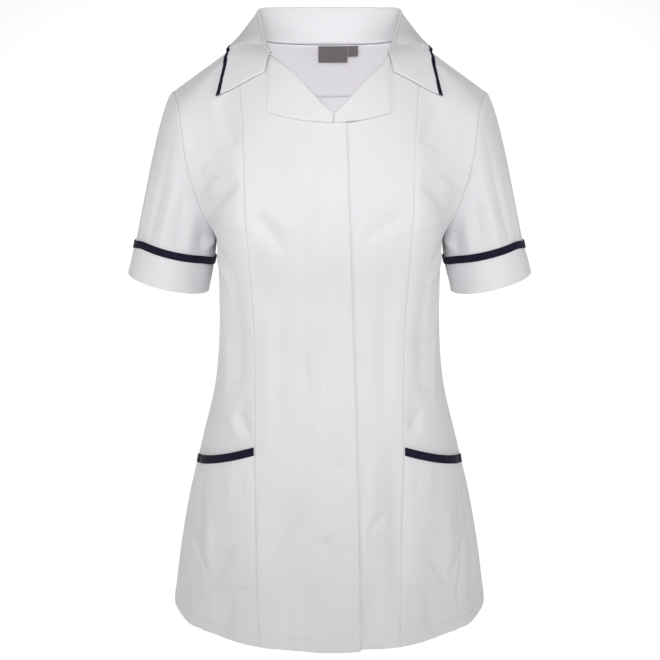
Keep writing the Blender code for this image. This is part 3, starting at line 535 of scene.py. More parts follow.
# Creases of the body cloth: ends as (around, station), bow in stations, half width and
# height in millimetres; height is above zero for a ridge
CREASES = (
    (-0.905, 8.1, -0.555, 7, 0.05, 10.3, -1.49),
    (0.93, 8.08, 0.395, 7.3, 0.05, 10, -1.29),
    (-0.79, 8.3, -0.35, 7.6, 0, 10.3, 0.79),
    (-0.235, 6.23, 0.02, 5.95, 0.02, 5.2, -0.32),
    (-0.225, 6.05, -0.02, 5.85, 0, 5.2, -0.26),
    (-0.215, 5.68, -0.205, 4.3, 0, 6.2, 0.99),
    (-0.095, 5.6, -0.085, 4.28, 0, 5.6, -0.79),
    (-0.02, 3.35, 0.205, 3.45, 0.02, 5.2, -0.49),
    (0.02, 2.9, 0.21, 3.03, 0.02, 5.2, -0.49),
    (-0.315, 2.45, -0.845, 1.48, 0.15, 11, -1.7),
    (-0.125, 2.53, -0.595, 1.53, 0.1, 10, 1),
    (-0.17, 1.75, 0.2, 2, 0.02, 5.2, -0.69),
    (0.05, 1.7, 0.265, 1.88, 0, 5.2, -0.49),
    (-0.195, 1.88, 0.105, 2.08, 0, 5.2, 0.64),
    (-0.24, 1.48, 0.145, 1.68, 0.03, 8.8, 0.77),
    (-0.02, 0.83, 0.245, 0.95, 0.02, 5.2, -0.64),
    (0.09, 1.1, 0.23, 1.2, 0, 5.2, -0.38),
    (0.455, 2.1, 0.475, 1.75, 0, 5.2, 0.44),
    (0.51, 1.93, 0.81, 2.25, 0.05, 6.9, -1.4),
    (0.435, 2.95, 0.62, 3.23, 0, 6.2, -0.94),
    (-1.24, 3.85, -1.03, 3.43, 0.03, 5.6, -1.4),
    (-1.38, 3.73, -1.14, 3.35, 0.03, 6.2, 1.05),
    (1.24, 3.85, 1.03, 3.45, 0.03, 5.6, -1.17),
    (-1.715, 1.58, -1.36, 0.98, 0.1, 8.1, -1.99),
    (-1.15, 1.65, -1.36, 0.93, 0.1, 8.1, -1.76),
    (-1.425, 2.02, -1.365, 1.1, 0, 10, 1.76),
    (1.725, 1.62, 1.365, 1.03, 0.1, 8.1, -1.64),
    (1.15, 1.68, 1.35, 0.93, 0.1, 7.5, -1.52),
    (1.415, 2.1, 1.37, 1.15, 0, 10, 1.52),
    (-1.365, 2.85, -1.305, 2.27, 0, 5.2, -0.49),
    (-1.24, 2.93, -1.205, 2.25, 0, 5.2, 0.44),
    (-1.13, 2.98, -1.105, 2.43, 0, 5.2, -0.44),
    (1.13, 2.98, 1.115, 2.4, 0, 5.2, -0.44),
    (1.255, 2.93, 1.22, 2.27, 0, 5.2, 0.44),
    (1.38, 2.85, 1.32, 2.35, 0, 5.2, -0.44),
    (-1.395, 11.93, -1.1, 9.93, 0.05, 8.1, -1.29),
    (1.405, 11.95, 1.105, 9.93, 0.05, 8.1, -1.19),
    (-1.57, 12.08, -1.33, 10.18, 0, 7.5, 0.69),
    (-1.67, 8.88, -1.07, 8.9, 0.05, 8.8, -1.58),
    (-1.89, 9.43, -1.33, 9.4, 0.05, 6.9, 1.09),
    (1.665, 8.9, 1.07, 8.88, 0.05, 8.8, -1.39),
    (1.885, 9.45, 1.35, 9.43, 0.05, 6.9, 0.99),
    (-1.19, 6.78, -1.235, 4, 0, 10.3, -1.39),
    (-1.515, 6.25, -1.415, 3.7, 0, 9.4, 1.09),
    (1.22, 6.65, 1.255, 4.08, 0, 10.3, -1.29),
    (1.61, 6.12, 1.435, 3.78, 0, 9.4, 0.99),
    (-1.01, 5.38, -1.475, 4.98, 0.05, 6.2, -0.79),
    (-1.02, 4.7, -1.485, 4.28, 0.05, 6.2, -0.69),
    (1, 5.25, 1.495, 4.88, 0.05, 6.2, -0.69),
    (1.01, 4.55, 1.475, 4.15, 0.05, 6.2, -0.69),
    (-0.605, 6.58, -0.71, 3.35, 0, 11.5, -0.99),
    (-0.79, 6.12, -0.85, 2.93, 0, 10, 0.69),
    (0.685, 6.83, 0.755, 3.68, 0, 11.5, -0.99),
    (0.58, 3.6, 0.59, 2.18, 0, 8.8, 1.05),
    (0.835, 3.43, 0.925, 0.88, 0, 10.3, -1.05),
    (-0.545, 1.4, -0.645, 0.18, 0, 10.3, -1.05),
    (0.585, 1.55, 0.66, 0.18, 0, 10.3, -0.94),
    (-1.635, 1.1, -1.48, 0.45, 0, 8.8, -1.29),
    (-1.715, 7.15, -1.25, 6.7, 0.03, 6.2, -1.29),
    (-1.675, 6.75, -1.24, 6.33, 0.03, 6.2, 0.99),
    (1.695, 7.18, 1.25, 6.7, 0.03, 6.2, -1.19),
    (1.675, 6.75, 1.245, 6.3, 0.03, 6.2, 0.89),
    (-1.91, 12.33, -1.73, 10.88, 0, 7.5, -0.69),
    (1.925, 12.43, 1.73, 10.88, 0, 7.5, -0.69),
    (-0.45, 9.7, -0.345, 8.33, 0, 11.5, 0.59),
    (2.45, 6.6, 3.6, 5.7, 0.25, 9, -2),
    (-2.5, 6.3, -3.55, 5.5, 0.2, 9, -1.8),
    (2.5, 6.1, 3.4, 5.1, 0.2, 8, 1.5),
    (-2.45, 5.9, -3.5, 5, 0.2, 8, 1.4),
    (3, 5.2, 3.99, 4.85, 0.05, 8, -1),
    (-3.2, 4.9, -3.99, 4.7, 0.05, 8, -0.9),
    (3.3, 9.8, 3.42, 6.3, 0, 10, -1.6),
    (-3.32, 9.5, -3.45, 6.1, 0, 10, -1.5),
    (3.62, 10.2, 3.7, 7.2, 0, 9, 1),
    (-3.7, 9.8, -3.66, 7, 0, 9, 0.9),
    (2.35, 9.6, 2.9, 8.1, 0.1, 7, -1.5),
    (-2.35, 9.4, -2.9, 8, 0.1, 7, -1.4),
    (2.3, 8.8, 2.75, 7.3, 0.1, 7, 1.2),
    (-2.3, 8.7, -2.75, 7.2, 0.1, 7, 1.1),
    (3.85, 4.2, 3.8, 0.7, 0, 11, -1.8),
    (-3.75, 4, -3.8, 0.9, 0, 11, -1.6),
    (3.45, 3.6, 3.4, 0.5, 0, 11, 1.6),
    (-3.4, 3.4, -3.42, 0.6, 0, 11, 1.5),
    (2.5, 3.9, 2.45, 0.8, 0, 10, -1.5),
    (-2.55, 3.7, -2.5, 1, 0, 10, -1.4),
    (1.9, 5.8, 2.35, 4.6, 0.1, 7, -1.2),
    (-1.9, 5.6, -2.35, 4.4, 0.1, 7, -1.2),
    (1.75, 3.3, 1.7, 0.9, 0, 8, -1),
    (-1.75, 3.2, -1.72, 1, 0, 8, -1),
    (-0.53, 2.6, -0.99, 1.25, 0.1, 17.2, -1.5),
    (0.115, 2.95, 0.065, 1.58, 0, 16.1, 1.29),
    (-0.91, 2.45, -0.995, 0.85, 0, 11.5, 1.17),
    (0.92, 2.9, 1.005, 1.03, 0, 14.9, -1.29),
    (-0.155, 1.35, -0.415, 0.28, 0.05, 14.9, -1.29),
    (0.28, 1.58, 0.22, 0.23, 0, 13.8, 1.05),
    (-1.88, 1.28, -1.595, 0.4, 0, 12.6, -1.87),
    (1.785, 1.28, 1.59, 0.4, 0, 12.6, -1.76),
    (-1.195, 0.93, -1.225, 0.05, 0, 10.3, -1.4),
    (1.2, 0.93, 1.24, 0.03, 0, 10.3, -1.4),
    (-1.355, 0.83, -1.325, 0.03, 0, 10, 1.29),
    (-0.335, 10.25, -0.39, 8.45, 0, 16.1, 0.89),
    (0.005, 8.08, -0.02, 6.5, 0, 13.8, 0.79),
    (-0.825, 7.08, -0.855, 5.75, 0, 10.3, -0.79),
    (0.8, 7.08, 0.83, 5.75, 0, 10.3, -0.79),
    (0.195, 3.25, 0.05, 2.15, 0, 11, -0.91),
    (-0.155, 1.8, 0.31, 1.62, 0.02, 7, -0.91),
    (-0.405, 1.58, 0.01, 1.1, 0, 11, 0.91),
    (0.615, 2.48, 0.505, 1.55, 0, 10, 0.78),
    (-1.625, 2.65, -1.535, 1.55, 0, 12, -1.43),
    (1.64, 2.65, 1.545, 1.55, 0, 12, -1.43),
    (-1.535, 1.23, -1.45, 0.43, 0, 9, -1.3),
    (1.525, 1.23, 1.445, 0.45, 0, 9, -1.3),
    (1.1, 4.17, 1.155, 3.4, 0, 9, -0.99),
    (-1.135, 4.17, -1.165, 3.43, 0, 8, -0.88),
    (-1.83, 5.85, -1.605, 4.48, 0, 8, -0.99),
    (1.83, 5.85, 1.605, 4.48, 0, 8, -0.99),
)

# Creases of the wearer's left sleeve: ends as (turn, run), where turn runs from 0 on the
# outer side, over 0.5 in front, to 1 on the inner side, and below zero behind
SLEEVE_CREASES = (
    (0.10, 0.30, 0.16, 0.97, 0.02, 7.0, 1.1),
    (0.24, 0.20, 0.30, 0.98, -0.02, 6.0, -1.2),
    (0.38, 0.42, 0.41, 0.99, 0.01, 6.0, 1.0),
    (0.52, 0.25, 0.53, 0.98, 0.02, 7.0, -1.3),
    (0.66, 0.35, 0.63, 0.98, -0.01, 6.0, 1.1),
    (0.78, 0.30, 0.74, 0.95, 0.01, 6.0, -1.4),
    (0.90, 0.25, 0.80, 0.75, -0.02, 6.0, 1.6),
    (0.93, 0.20, 0.88, 0.60, 0.0, 4.5, -1.6),
    (-0.14, 0.25, -0.18, 0.97, 0.02, 7.0, 1.2),
    (-0.33, 0.35, -0.36, 0.98, -0.02, 7.0, -1.3),
    (-0.50, 0.20, -0.52, 0.97, 0.02, 7.0, 1.1),
    (-0.68, 0.30, -0.64, 0.96, 0.01, 6.0, -1.3),
    (-0.84, 0.25, -0.78, 0.85, -0.01, 6.0, 1.4),
)

# The wearer's two sides: the word in a piece's name, and the sign of x
SIDES = (("right", -1), ("left", 1))


def length_property(name, description, default, low, high):
    return bpy.props.FloatProperty(
        name=name, description=description, default=default, min=low, max=high,
        subtype="DISTANCE", unit="LENGTH",
    )


def colour_property(name, description, default):
    return bpy.props.FloatVectorProperty(
        name=name, description=description, default=default, size=3, min=0, max=1, subtype="COLOR"
    )


class TunicSizes(bpy.types.PropertyGroup):
    """Sizes of the dressed cloth that a user may change."""

    seam_roll: length_property("Seam roll", "How far a panel's edge turns in at a seam", 0.00042, 0, 0.002)
    crease_height: bpy.props.FloatProperty(
        name="Crease height",
        description="How strongly the creases stand out, as a share of their listed height",
        default=2.5, min=0, max=4, subtype="FACTOR",
    )
    pucker: length_property("Pucker", "Height of the ripples along a stitched hem", 0.0003, 0, 0.001)
    stitch_length: length_property(
        "Stitch length", "Length of one stitch with its gap", 0.0030, 0.0015, 0.006
    )
    thread: length_property("Thread", "Thickness of the sewing thread", 0.00045, 0.0002, 0.001)
    wale: length_property("Wale", "Distance between two ribs of the twill", 0.0009, 0.0003, 0.003)


class TunicColours(bpy.types.PropertyGroup):
    """Colours of the cloths."""

    cloth: colour_property("Cloth", "Colour of the main cloth", (0.80, 0.79, 0.808))
    binding: colour_property("Binding", "Colour of the bindings", (0.0055, 0.0042, 0.020))
    label: colour_property("Label", "Colour of the woven labels", (0.148, 0.134, 0.140))
    thread: colour_property("Thread", "Colour of the sewing thread", (0.80, 0.79, 0.81))
    floor: colour_property("Floor", "Colour of the floor and backdrop", (0.50, 0.50, 0.50))


def sizes():
    return bpy.context.scene.tunic_sizes


def colours():
    return bpy.context.scene.tunic_colours


# Materials

# Each cloth's material name, colour, roughness, distance of its ribs (none: the user's wale), depth
# of its weave, sheen, depth of its drape and share of its mottling
CLOTHS = {
    "white_cloth": ("white_twill", "cloth", 0.85, None, 0.00005, 0.15, 0.0008, 0.075),
    "navy_binding": ("navy_braid", "binding", 0.8, 0.0011, 0.00007, 0.04, 0.0001, 0.25),
    "grey_label": ("grey_satin", "label", 0.5, 0.0006, 0.00005, 0.3, 0.0001, 0.08),
    "thread": ("white_thread", "thread", 0.7, 0.0006, 0.00003, 0.1, 0, 0.02),
}
# How strongly the mottling darkens red, green and blue
MOTTLED_PARTS = (0.8, 1.0, 0.8)
# Scale of a wave texture with one rib to the metre, and the turn of the twill
RIB_SCALE = 0.314
TWILL_TURN = math.radians(52)


def new_material(name):
    """A new material, its node tree and its shader's sockets."""
    material = bpy.data.materials.new(name)
    material.use_nodes = True
    tree = material.node_tree
    return material, tree, tree.nodes["Principled BSDF"].inputs


def node(tree, kind, values):
    """The outputs of a new node; values are settings, numbers for sockets, or sockets to link."""
    made = tree.nodes.new("ShaderNode" + kind)
    for name, value in values.items():
        if isinstance(value, bpy.types.NodeSocket):
            tree.links.new(value, made.inputs[name])
        elif isinstance(name, str) and hasattr(made, name):
            setattr(made, name, value)
        else:
            made.inputs[name].default_value = value
    return made.outputs


def woven_material(cloth):
    """A woven cloth: diagonal ribs crossed by threads, soft drape and faint mottling."""
    name, colour, roughness, wale, relief, sheen, drape, mottled = CLOTHS[cloth]
    if name in bpy.data.materials:
        return bpy.data.materials[name]
    colour = getattr(colours(), colour)
    scale = RIB_SCALE / (wale or sizes().wale)
    material, tree, shader = new_material(name)
    shader["Roughness"].default_value = roughness
    shader["Specular IOR Level"].default_value = 0.25
    shader["Sheen Weight"].default_value = sheen
    shader["Sheen Roughness"].default_value = 0.45
    place = node(tree, "TexCoord", {})
    turned = node(tree, "Mapping", {"Rotation": (0, 0, TWILL_TURN), "Vector": place["UV"]})
    on_cloth, in_space = {"Vector": turned["Vector"]}, {"Vector": place["Object"]}
    ribs = node(tree, "TexWave", {"Scale": scale, "Distortion": 0.6, "Detail": 1.0, **on_cloth})
    crossed = {"Scale": scale / 0.6, "bands_direction": "Y", "Distortion": 0.4, **on_cloth}
    crossed = node(tree, "TexWave", crossed)
    weave = {"operation": "MULTIPLY_ADD", 0: crossed["Fac"], 1: 0.35, 2: ribs["Fac"]}
    weave = node(tree, "Math", weave)["Value"]
    fine = node(tree, "Bump", {"Strength": 0.5, "Distance": relief, "Height": weave})
    soft = node(tree, "TexNoise", {"Scale": 38.0, "Detail": 3.0, "Roughness": 0.55, **in_space})
    bump = {"Strength": 1.0, "Distance": drape, "Height": soft["Fac"], "Normal": fine["Normal"]}
    tree.links.new(node(tree, "Bump", bump)["Normal"], shader["Normal"])
    patches = node(tree, "TexNoise", {"Scale": 11.0, "Detail": 4.0, "Roughness": 0.6, **in_space})
    darker = [value * (1 - mottled * part) for value, part in zip(colour, MOTTLED_PARTS)]
    tint = {"data_type": "RGBA", "Factor": patches["Fac"], 6: (*darker, 1), 7: (*colour, 1)}
    tree.links.new(node(tree, "Mix", tint)[2], shader["Base Color"])
    return material


# Meshes


def length_along(points, axis, ring=False):
    """Mean length along a grid's rows or columns, up to each of them."""
    if ring:
        points = np.concatenate([points, points[:, :1]], axis=1)
    steps = np.linalg.norm(np.diff(points, axis=axis), axis=-1).mean(axis=1 - axis)
    return np.concatenate([[0.0], np.cumsum(steps)])


def new_piece(name, mesh, material):
    """A mesh as a smooth piece that rides on the part's one body."""
    mesh.shade_smooth()
    mesh.materials.append(material)
    piece = bpy.data.objects.new(name, mesh)
    bpy.context.scene.collection.objects.link(piece)
    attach(piece, "root")
    return piece


def wall_mesh(name, outer, inner, ring):
    """A mesh that fills the wall between two grids, with its UV map in metres."""
    rows, columns = outer.shape[:2]
    across, along = length_along(outer, 1, ring), length_along(outer, 0)
    places = np.arange(2 * rows * len(across)).reshape(2, rows, len(across))
    out, back = places

    def quads(*corners):
        return np.stack(corners, axis=-1).reshape(-1, 4)

    faces = [
        quads(out[:-1, :-1], out[:-1, 1:], out[1:, 1:], out[1:, :-1]),
        quads(back[1:, :-1], back[1:, 1:], back[:-1, 1:], back[:-1, :-1]),
        quads(out[0, 1:], out[0, :-1], back[0, :-1], back[0, 1:]),
        quads(out[-1, :-1], out[-1, 1:], back[-1, 1:], back[-1, :-1]),
    ]
    if not ring:
        faces.append(quads(out[:-1, 0], out[1:, 0], back[1:, 0], back[:-1, 0]))
        faces.append(quads(out[1:, -1], out[:-1, -1], back[:-1, -1], back[1:, -1]))
    faces = np.concatenate(faces)
    row, column = rows // 2, columns // 2
    level = outer[row, column] - outer[row, column - 1]
    rise = outer[row, column] - outer[row - 1, column]
    if np.dot(np.cross(level, rise), outer[row, column] - inner[row, column]) < 0:
        faces = faces[:, ::-1]
    sheet, row, column = np.unravel_index(faces, places.shape)
    corners = (sheet * rows + row) * columns + column % columns
    uv = np.stack([across[column], along[row]], axis=-1)
    mesh = bpy.data.meshes.new(name)
    mesh.vertices.add(2 * rows * columns)
    mesh.vertices.foreach_set("co", np.stack([outer, inner]).astype(np.float32).ravel())
    mesh.loops.add(corners.size)
    mesh.loops.foreach_set("vertex_index", corners.astype(np.int32).ravel())
    mesh.polygons.add(len(corners))
    mesh.polygons.foreach_set("loop_start", np.arange(0, corners.size, 4, dtype=np.int32))
    mesh.uv_layers.new(name="cloth").data.foreach_set("uv", uv.astype(np.float32).ravel())
    mesh.update(calc_edges=True)
    if mesh.validate():
        raise RuntimeError(name + " has faulty faces")
    return mesh


def edge_gap(points, ring=False):
    """Distance of each grid place from the nearest end of its row or column."""
    along = length_along(points, 0)
    gap = np.minimum(along, along[-1] - along)[:, None] + np.zeros(points.shape[:2])
    if not ring:
        across = length_along(points, 1)
        gap = np.minimum(gap, np.minimum(across, across[-1] - across))
    return gap


def half_wall(gap, thickness):
    """Half the thickness of the cloth, rounded off towards an edge."""
    t = np.clip(gap / EDGE_ROUND, 0, 1)
    return EDGE_WALL + (thickness / 2 - EDGE_WALL) * np.sqrt(1 - (1 - t) ** 2)


def sew(
    solid, points, normals, lift, name="", gap=None, slot="white_cloth", thickness=SHEET,
    ring=False, held="stretched", rests_on=(),
):
    """A cloth along a grid of points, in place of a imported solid; its cut is as it lies."""
    half = half_wall(edge_gap(points, ring) if gap is None else gap, thickness)
    lift = lift + np.zeros(points.shape[:2])
    outer = points + normals * (lift + half)[..., None]
    inner = points + normals * (lift - half)[..., None]
    name = name or "cloth_" + solid
    piece = new_piece(name, wall_mesh(name, outer, inner, ring), woven_material(slot))
    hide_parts(solid)


# Creases


def edged(count, length, first=True, last=True):
    """Shares from 0 to 1, closer together at the edges that are rolled."""
    near = EDGE_STEPS / length
    start = near[-1] if first else 0.0
    end = 1 - near[-1] if last else 1.0
    lead = near[:-1] if first else []
    trail = 1 - near[:-1][::-1] if last else []
    return np.concatenate([lead, np.linspace(start, end, count), trail])


def crease_lines(rows, surface):
    """Crease paths on a surface, each with its half width and height in metres."""
    lines = []
    t = np.linspace(0, 1, 17)
    for first, low, second, high, bow, width, height in rows:
        place = lerp(first, second, t), lerp(low, high, t) + bow * np.sin(math.pi * t)
        lines.append((surface(*place), width / 1000, height / 1000))
    return lines


def crease_out(points, lines):
    """How far creases move each point of a grid out of its surface."""
    flat = points.reshape(-1, 3)
    out = np.zeros(len(flat))
    for path, width, height in lines:
        reach = 2.6 * width
        near = np.all((flat > path.min(axis=0) - reach) & (flat < path.max(axis=0) + reach), axis=1)
        chosen = np.nonzero(near)[0]
        if len(chosen) == 0:
            continue
        step = np.diff(path, axis=0)
        offset = flat[chosen][:, None] - path[None, :-1]
        t = np.clip(np.sum(offset * step, axis=2) / np.sum(step * step, axis=1), 0, 1)
        gap = np.linalg.norm(offset - t[..., None] * step, axis=2)
        nearest = np.argmin(gap, axis=1)
        pick = np.arange(len(chosen))
        along = (nearest + t[pick, nearest]) / len(step)
        swell = np.sin(math.pi * np.clip(along, 0, 1)) ** 0.7
        spread = gap[pick, nearest] / (width * (0.55 + 0.45 * swell))
        out[chosen] += height * swell * np.exp(-spread * spread)
    return out.reshape(points.shape[:-1]) * sizes().crease_height


@functools.cache
def body_lines():
    return crease_lines(CREASES, skin)


def draped(around, station):
    """The creased cloth at places on the form, and the way out of it."""
    points = skin(around, station)
    normals = skin(around, station, 1.0) - points
    out = crease_out(points, body_lines())
    return points + normals * out[..., None], normals


def rolled(gap):
    """How far in a panel's edge is rolled at a seam."""
    return -sizes().seam_roll * np.clip(1 - gap / ROLL_WIDTH, 0, 1) ** 2


def bump_at(place, centre, width):
    """A soft bump of height 1 across a line."""
    return np.exp(-(((place - centre) / width) ** 2))


def hem_relief(rise, run, turn):
    """The turned hem, its stitched line and the puckers beside it."""
    raised = HEM_RAISED * smoothstep(turn + HEM_BLEND, turn - HEM_BLEND, rise)
    sunk = -HEM_SUNK * bump_at(rise, turn, SEW_WIDTH)
    wave = np.sin(run / 0.0019 + 1.7 * np.sin(run / 0.0083) + 0.9 * np.sin(run / 0.0301))
    return raised + sunk + sizes().pucker * wave * bump_at(rise, turn, PUCKER_WIDTH)


# Body panels


def opening_across(height):
    return OPENING("across", np.interp(height, OPENING.rows[:, 1], OPENING.rows[:, 0]))


def raise_over(across):
    """How far the upper front is lifted where it lies on the lower one."""
    return LAY * smoothstep(OVERLAP_START, OVERLAP_FULL, across)


def front_place(across, height):
    """The place on the form of a point seen from the front, between the princess seams."""
    station = station_of(height)
    return across / FRONT("princess_x", station), station


def lapel_lines(side_sign):
    """The fold and the outer edge of a lapel, seen from the front as (across, height)."""
    steps = np.linspace(0, 4, LAPEL_ROWS)
    across = side_sign * ROLL("across", steps) + ROLL("shift", steps)
    fold = np.stack([across, ROLL("height", steps)], axis=1)
    corner, top = (np.array([side_sign * x, z]) for x, z in (LAPEL_CORNER, LAPEL_TOP))
    middle = np.array([ROLL.rows[0, 3], LAPEL_FOOT])
    bottom_rows = (LAPEL_ROWS - 1) * 4 // 7
    down = np.arange(bottom_rows + 1)[:, None] / bottom_rows
    low = lerp(middle, corner, down)
    low[:, 1] -= LAPEL_DIP * np.sin(math.pi * down[:, 0])
    up = np.arange(1, LAPEL_ROWS - bottom_rows)[:, None] / (LAPEL_ROWS - 1 - bottom_rows)
    edge = np.concatenate([low, lerp(corner, top, up)])
    edge[0, 0] += side_sign * SEAM_GAP
    fold[0, 0] += side_sign * SEAM_GAP
    return fold, edge


def lapel_seat(side_sign):
    """Where the front is cut below the lapel's fold, as (across, height) for each row."""
    fold, edge = lapel_lines(side_sign)
    return fold + unit(edge - fold) * (ROLL_RADIUS + SEAM_GAP)


def front_centre_grid(side_sign, share):
    """Places of a centre front: rows from its opening or lapel to the princess seam."""
    over = side_sign < 0
    low = ROWS[: len(LOWER_ROWS) + len(CHEST_ROWS)]
    across = opening_across(FRONT("princess_z", low)) - (0 if over else OVERLAP)
    around, station = front_place(*lapel_seat(side_sign).T)
    neck = side_sign * NECK_ACROSS / FRONT("princess_x", SHOULDER)
    climb = (NECK_ROWS - ROLL_ROWS[-1]) / (SHOULDER - ROLL_ROWS[-1])
    inner_around = [across / FRONT("princess_x", low), around, lerp(around[-1], neck, climb)]
    inner_station = [low, station, lerp(station[-1], SHOULDER, climb)]
    outer_around = side_sign * (1 - SEAM_CLEAR / PRINCESS_ACROSS)
    around = lerp(np.concatenate(inner_around)[:, None], outer_around, share)
    station = lerp(np.concatenate(inner_station)[:, None], ROWS[:, None], share)
    if not over:
        rows = slice(UNDER_HEM_ROWS)
        station[rows] += UNDER_HEM_RISE * (1 - share) * (1 - ROWS[rows, None] / UNDER_HEM_TOP)
    return around, station


def seam_around(station):
    return np.where(station < UNDERARM, SIDE("seam", station), 2.0)


def vent(station):
    return VENT_SPREAD * np.clip(1 - station / VENT_TOP, 0, 1)


def row_length(start, end, station):
    points = form(lerp(start[:, None], end[:, None], np.linspace(0, 1, 9)), station[:, None])
    return np.linalg.norm(np.diff(points, axis=1), axis=2).sum(axis=1)


def shoulder_rows(columns):
    """Rows of a panel up to the shoulder seam."""
    station = np.repeat(ROWS[:, None], columns, axis=1)
    station[-1] -= SHOULDER_SEAM
    station[-2] -= SHOULDER_SEAM / 2
    return station


def panel(solid, around, station, lift=0.0, open_edge=False):
    """A body panel with rolled seams and a turned hem; its first edge may be an open one."""
    points, normals = draped(around, station)
    across, along = length_along(points, 1), length_along(points, 0)
    lift = lift + hem_relief(along[:, None], across, HEM_TURN)
    lift = lift + rolled(across[-1] - across) + rolled(along[-1] - along)[:, None]
    if not open_edge:
        lift = lift + rolled(across)
    sew(solid, points, normals, lift)


class TUNIC_OT_back(bpy.types.Operator):
    """Adds the back panel, from side seam to side seam."""

    bl_idname = "tunic.back"
    bl_label = "Back"

    def execute(self, context):
        start = seam_around(ROWS)
        length = row_length(start + NUDGE, np.full(len(ROWS), 3.0), ROWS)
        under = np.clip(1 - ROWS / VENT_TOP, 0, 1) ** 0.5
        start = start + SEAM_CLEAR / length * (3 - start) - UNDER_VENT * under
        corner = 4 - NECK_ACROSS / BACK("blade_x", SHOULDER)
        outer_part = lerp(start[:, None], corner, edged(52, 0.2, last=False)[:-1])
        middle = np.tile(np.linspace(corner, 4.0, 25), (len(ROWS), 1))
        half = np.concatenate([outer_part, middle], axis=1)
        around = np.concatenate([half, -half[:, -2::-1]], axis=1)
        beside = np.abs(around) - start[:, None]
        lift = -UNDER_VENT_DEPTH * under[:, None] * smoothstep(UNDER_VENT_FADE, UNDER_VENT, beside)
        panel("back", around, shoulder_rows(around.shape[1]), lift)
        return {"FINISHED"}


class TUNIC_OT_centre_fronts(bpy.types.Operator):
    """Adds the centre fronts; the wearer's right one lies over the left one."""

    bl_idname = "tunic.centre_fronts"
    bl_label = "Centre fronts"

    def execute(self, context):
        for word, side_sign in SIDES:
            around, station = front_centre_grid(side_sign, edged(40, 0.11))
            lift = raise_over(around * FRONT("princess_x", station)) * (side_sign < 0)
            panel("front_centre_" + word, around, station, lift, open_edge=True)
        return {"FINISHED"}


class TUNIC_OT_side_fronts(bpy.types.Operator):
    """Adds the side fronts, between princess seam and side seam."""

    bl_idname = "tunic.side_fronts"
    bl_label = "Side fronts"

    def execute(self, context):
        start, end = np.ones(len(ROWS)), seam_around(ROWS) - NUDGE
        trim = SEAM_CLEAR / row_length(start, end, ROWS) * (end - start)
        start, end = start + trim, end - trim - vent(ROWS)
        around = lerp(start[:, None], end[:, None], edged(48, 0.12))
        for word, side_sign in SIDES:
            panel("front_side_" + word, side_sign * around, shoulder_rows(around.shape[1]))
        return {"FINISHED"}


# Sleeves


def armhole_loop(share, in_front):
    """The armhole at shares of its way from the shoulder down: points and out-facing normals."""
    steps = np.arange(len(ARM_ROWS)) / (len(ARM_ROWS) - 1)
    station = np.interp(1 - share, steps, ARM_ROWS)
    around = np.where(in_front, 2 - NUDGE, 2.0)
    points = form(around, station)
    return points, unit(skin(around, station, 1.0) - points)


def sleeve_shares(columns=56):
    """Round a sleeve ring from its top, down the front and up the back."""
    down = np.linspace(0, 1, columns + 1)
    share = np.concatenate([down, down[-2:0:-1]])
    return share, np.arange(len(share)) <= columns


def sleeve_rings(runs, share, in_front):
    """Rings of the sleeve from the armhole (run 0) to the band (run 1), on the wearer's left."""
    loop, normals = armhole_loop(share, in_front)
    tangent = unit(np.roll(loop, -1, axis=0) - np.roll(loop, 1, axis=0))
    outward = unit(np.cross(tangent, normals))
    outward *= np.sign(outward[0, 0])
    under = smoothstep(0.60, 0.92, share)[:, None]
    leaving = unit(lerp(outward, UNDERARM_WAY, under))
    bend = np.linalg.norm(np.cross(outward, leaving), axis=1, keepdims=True)
    half = CLOTH / 2 * bend
    start = loop + leaving * (SEAM_GAP + half + REST_GAP * under) - outward * half
    axis = np.array([math.sin(SLEEVE_LEAN), 0, -math.cos(SLEEVE_LEAN)])
    end = band_ring(share, in_front, BAND_CENTRE, BAND_RADII, band_rise(share, in_front))
    reach = lerp(SLEEVE_HEAD, UNDERARM_TURN, smoothstep(0.1, 0.85, share))[:, None]
    fall = lerp(SLEEVE_FALL, UNDERARM_FALL, smoothstep(0.1, 0.95, share))[:, None]
    t = np.asarray(runs)[:, None, None]
    rings = (2 * t**3 - 3 * t**2 + 1) * start + (3 * t**2 - 2 * t**3) * end
    return rings + (t**3 - 2 * t**2 + t) * reach * leaving + (t**3 - t**2) * fall * axis


def band_rise(share, in_front):
    """How far the band climbs round the sleeve, for an arm that hangs a little forward."""
    ahead = smoothstep(0, 0.28, share) * (1 - 0.5 * smoothstep(0.72, 1.0, share))
    return BAND_RISE * np.where(in_front, ahead, 0.5 * smoothstep(0.6, 1.0, share))


def band_ring(share, in_front, centre, radii, rise=0.0):
    """A ring round the sleeve's axis; share 0 is its outer side and 1 its inner side."""
    angle = math.pi * share
    up = np.array([-math.sin(SLEEVE_LEAN), 0, math.cos(SLEEVE_LEAN)])
    wide = np.array([math.cos(SLEEVE_LEAN), 0, math.sin(SLEEVE_LEAN)])
    points = np.array(centre) + np.cos(angle)[:, None] * radii[0] * wide
    points[:, 1] += np.where(in_front, -1.0, 1.0) * np.sin(angle) * radii[1]
    return points + np.multiply.outer(rise, up)


def mirrored(points, side_sign):
    return points * np.array([side_sign, 1, 1])


def tube(solid, rings, away, lift, side_sign, **details):
    """A tube of cloth round a sleeve, given as on the wearer's left."""
    normals = grid_normals(rings, ring=True)
    if np.sum(normals[-1] * away) < 0:
        normals = -normals
    normals = mirrored(normals, side_sign)
    sew(solid, mirrored(rings, side_sign), normals, lift, ring=True, **details)


def sleeve_surface(turn, run):
    points = []
    for t, r in zip(turn, run):
        share = np.clip(abs(t) + np.array([-0.002, 0, 0.002]) * (1 if t >= 0 else -1), 0, 1)
        points.append(sleeve_rings([r], share, np.full(3, t >= 0))[0, 1])
    return np.array(points)


